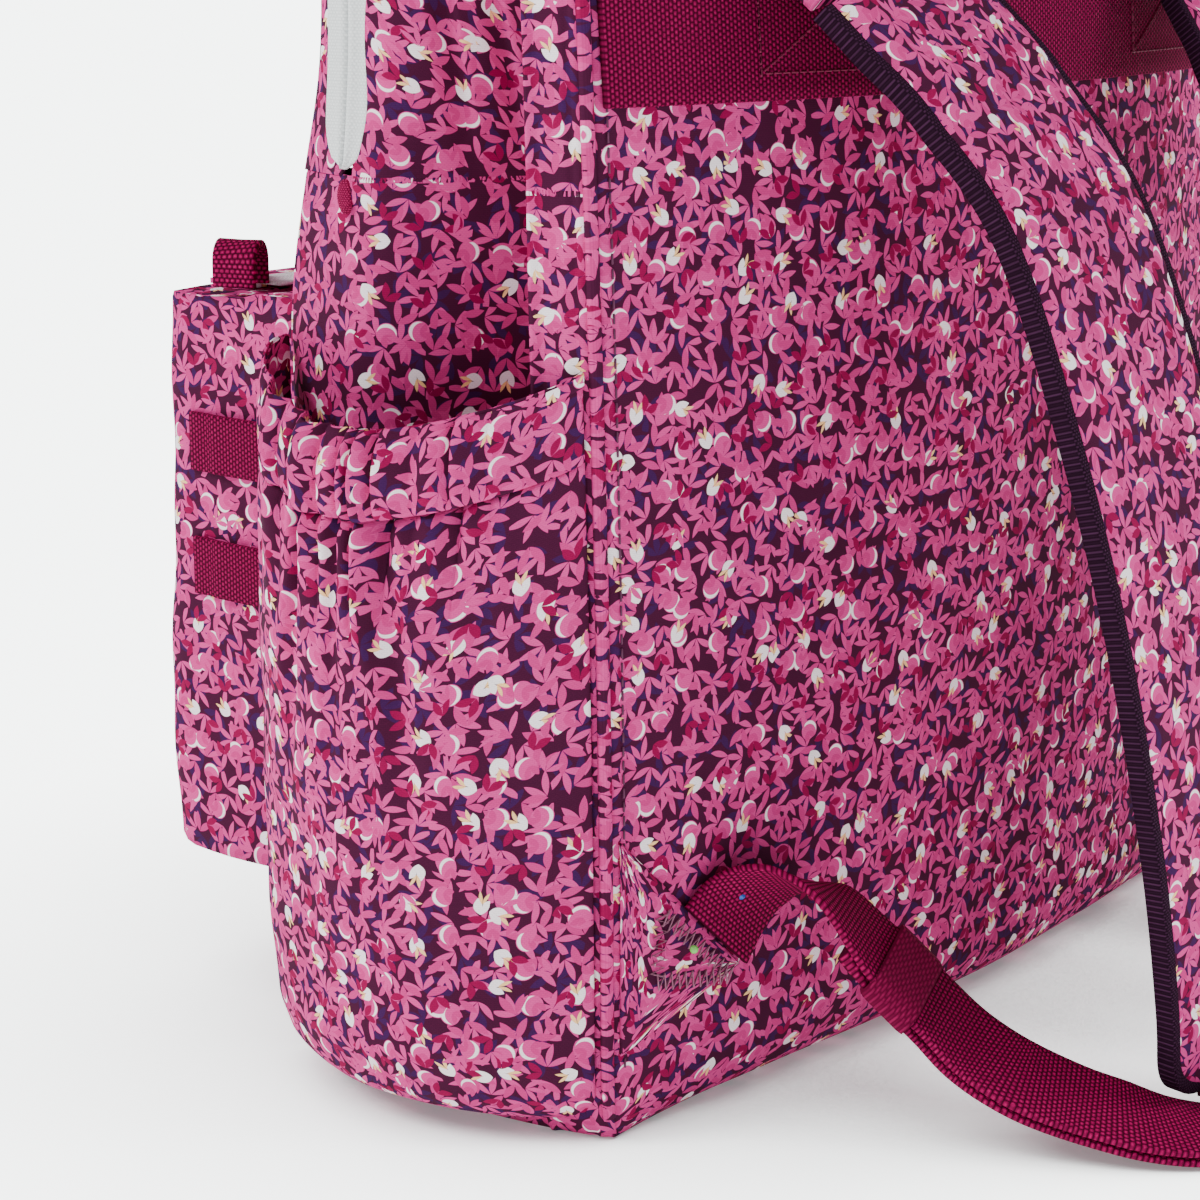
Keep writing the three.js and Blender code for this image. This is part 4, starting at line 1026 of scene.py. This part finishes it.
def add_webbing():
    for name, sign in SIDES:
        body = f"strap_{name}"
        line = curve_through(turned(WEBBING_STOPS, sign), 160)
        frames = strip_frames(line)
        bm = carried(frames, lambda t: flat_section(WEBBING_WIDE, WEBBING_THICK, 8))
        keep_piece(f"strap_webbing_woven_{name}", bm, webbing, body,
                   [f"strap_webbing_{name}"],
                   sewn=("bag", (113.3 * sign, 60.9, 45.4), (98.5 * sign, 77.3, 57.5)))
        keeper_at = 69
        tail = []
        for i in range(56, 140):
            place, along, across, up = frames[i]
            low = -2.4 * sign
            tail.append((place + up * low, across))
        tframes = strip_frames(tail)
        bm = carried(tframes, lambda t: flat_section(WEBBING_WIDE, WEBBING_THICK + 2.2 * (1 - ease(t * 14)),
                8))
        keep_piece(f"webbing_tail_woven_{name}", bm, webbing, body,
                   [f"webbing_tail_{name}"])

        keeper = [(f[0], f[2]) for f in frames[keeper_at - 6:keeper_at + 7]]
        middle = frames[keeper_at]
        stops = [(middle[0] + middle[1] * (-6.5 + 13 * i / 14) - middle[3] * 1.2 * sign, middle[2])
                 for i in range(15)]

        def sleeve(t):
            ridge = 0.15 * math.sin(t * 40)
            groove = 0.5 * bump_at(t, 0.0, 0.1) + 0.5 * bump_at(t, 1.0, 0.1)
            return flat_section(29.6 - groove, 7.0 + ridge - groove, 10, 1.2)
        bm = carried(strip_frames(stops), sleeve)
        keep_piece(f"webbing_keeper_elastic_{name}", bm, elastic, f"keeper_{name}",
                   [f"webbing_keeper_{name}"])

        tongue = turned([((35.2, 146.4, 7.9), (-1, 0, 0)), ((34.2, 150, 8), (-1, 0, 0)),
                         ((33.2, 153.3, 8), (-.94, -.34, 0))], sign)
        bm = carried(strip_frames(curve_through(tongue, 8)), lambda t: flat_section(18, WEBBING_THICK))
        keep_piece(f"strap_tongue_webbing_{name}", bm, webbing, body,
                   [f"strap_tongue_{name}"])


# ------------------------------------------------------------------ handle, hardware and inside
def add_handle():
    for name, sign in SIDES:
        line = [(Vector((sign * lerp(29, 55, i / 8), 14, 366.3)), Vector((0, 1, 0))) for i in range(9)]
        bm = carried(strip_frames(line), lambda t: flat_section(16, WEBBING_THICK))
        keep_piece(f"handle_foot_webbing_{name}", bm, webbing, "bag",
                   [f"handle_foot_{name}"])
    arch = []
    for i in range(61):
        a = math.pi * i / 60
        arch.append((Vector((-42 * math.cos(a), 14, 368.6 + 36 * math.sin(a) ** 0.8)), Vector((0, 1, 0))))

    def grip(t):
        swell = math.sin(math.pi * t)
        wide, thick = 2.4 + 13.8 * swell, 18 - 9.5 * swell ** 0.5
        return [(math.cos(k * math.pi / 8) * wide / 2, math.sin(k * math.pi / 8) * thick / 2)
                for k in range(16)]
    bm = carried(strip_frames(arch), grip)
    keep_piece("grab_handle_webbing", bm, webbing, "handle", ["grab_handle"])


def add_inside():
    def divider(u, v):
        return Vector((lerp(-106, 106, u), 35 + ripple(u * 200, v * 200, 4) * 0.8, lerp(5.5, 240, v)))
    bm = cloth_grid(40, 40, divider)
    piece = keep_piece("sleeve_divider_cloth", bm, lining, "bag", ["sleeve_divider"], 1.0)


def finish_hardware():
    finishes = {"nickel": nickel, "raspberry_plastic": plastic, "board": board, "foam": foam}
    for part in frame["record"]["subparts"]:
        node = frame["nodes"].get(part["node"])
        material = finishes.get(part["material_slot"])
        if node and material:
            node.data.materials.clear()
            node.data.materials.append(material)


add_panels()
add_flap()
add_welts()
add_main_zip()
add_bottle_pockets()
add_front_pocket()
add_pocket_trim()
add_back_trim()
add_straps()
add_webbing()
add_handle()
add_inside()
finish_hardware()
bead("green_pin_head", (121.8 + 1.6, 62.4, 45.4), 1.0, green_glass, "bag")
bead("blue_pin_head", (107.3, 63.5, 54.2), 1.0, blue_glass, "strap_right")


# ------------------------------------------------------------------ floor, light and camera
def add_studio():
    bm = bmesh.new()
    bmesh.ops.create_grid(bm, x_segments=1, y_segments=1, size=30.0)
    mesh = bpy.data.meshes.new("studio floor")
    bm.to_mesh(mesh)
    bm.free()
    floor = bpy.data.objects.new("studio_floor", mesh)
    bpy.context.scene.collection.objects.link(floor)
    material, tree = new_material("glowing white studio sweep with painted contact shadow")
    # The floor glows so that it reads white. Ambient occlusion dims the glow where the bag stands near it, which
    # is a painted contact shadow. The glow is at full strength to the camera and at 0.3 of it in the light it
    # throws onto the bag.
    painted_contact_shadow = add(tree, "AmbientOcclusion", {"Distance": 0.16}, samples=8)
    painted_shadow_glow = add(tree, "MapRange", {"Value": painted_contact_shadow.outputs["AO"], "From Min": 0.25, "To Min": 0.2,
            "To Max": 4.8})
    seen = add(tree, "MapRange", {"Value": add(tree, "LightPath").outputs["Is Camera Ray"], "To Min": 0.3,
            "To Max": 1.0})
    painted_shadow_glow = add(tree, "Math", {0: painted_shadow_glow, 1: seen}, operation="MULTIPLY")
    finish_material(tree, paint("#F1F5F4"), Roughness=0.95, Specular_IOR_Level=0.0,
                    Emission_Color=(0.955, 1.0, 0.99, 1.0), Emission_Strength=painted_shadow_glow)
    mesh.materials.append(material)

    world = bpy.data.worlds.new("soft studio room")
    bpy.context.scene.world = world
    world.use_nodes = True
    background = world.node_tree.nodes["Background"]
    background.inputs["Color"].default_value = (0.93, 0.96, 0.955, 1)
    background.inputs["Strength"].default_value = 0.5

    for name, place, softness, power in (("key light", (1.3, -0.9, 1.7), 24, 3.0),
            ("fill light", (-0.9, 1.2, 1.9), 24, 1.3)):
        light = bpy.data.lights.new(name, "SUN")
        light.angle = math.radians(softness)
        light.energy = power
        lamp = bpy.data.objects.new(name.replace(" ", "_"), light)
        lamp.location = place
        lamp.rotation_euler = (Vector((0, 0, 0.15)) - Vector(place)).to_track_quat("-Z", "Y").to_euler()
        bpy.context.scene.collection.objects.link(lamp)

    lens = bpy.data.cameras.new("camera")
    lens.lens = 84.0
    lens.sensor_width = 36.0
    lens.clip_start = 0.02
    camera = bpy.data.objects.new("camera", lens)
    camera.location = (0.5966, 0.4316, 0.271)
    camera.rotation_euler = (math.radians(90 - 13.5), 0, math.radians(130))
    bpy.context.scene.collection.objects.link(camera)
    bpy.context.scene.camera = camera


add_studio()
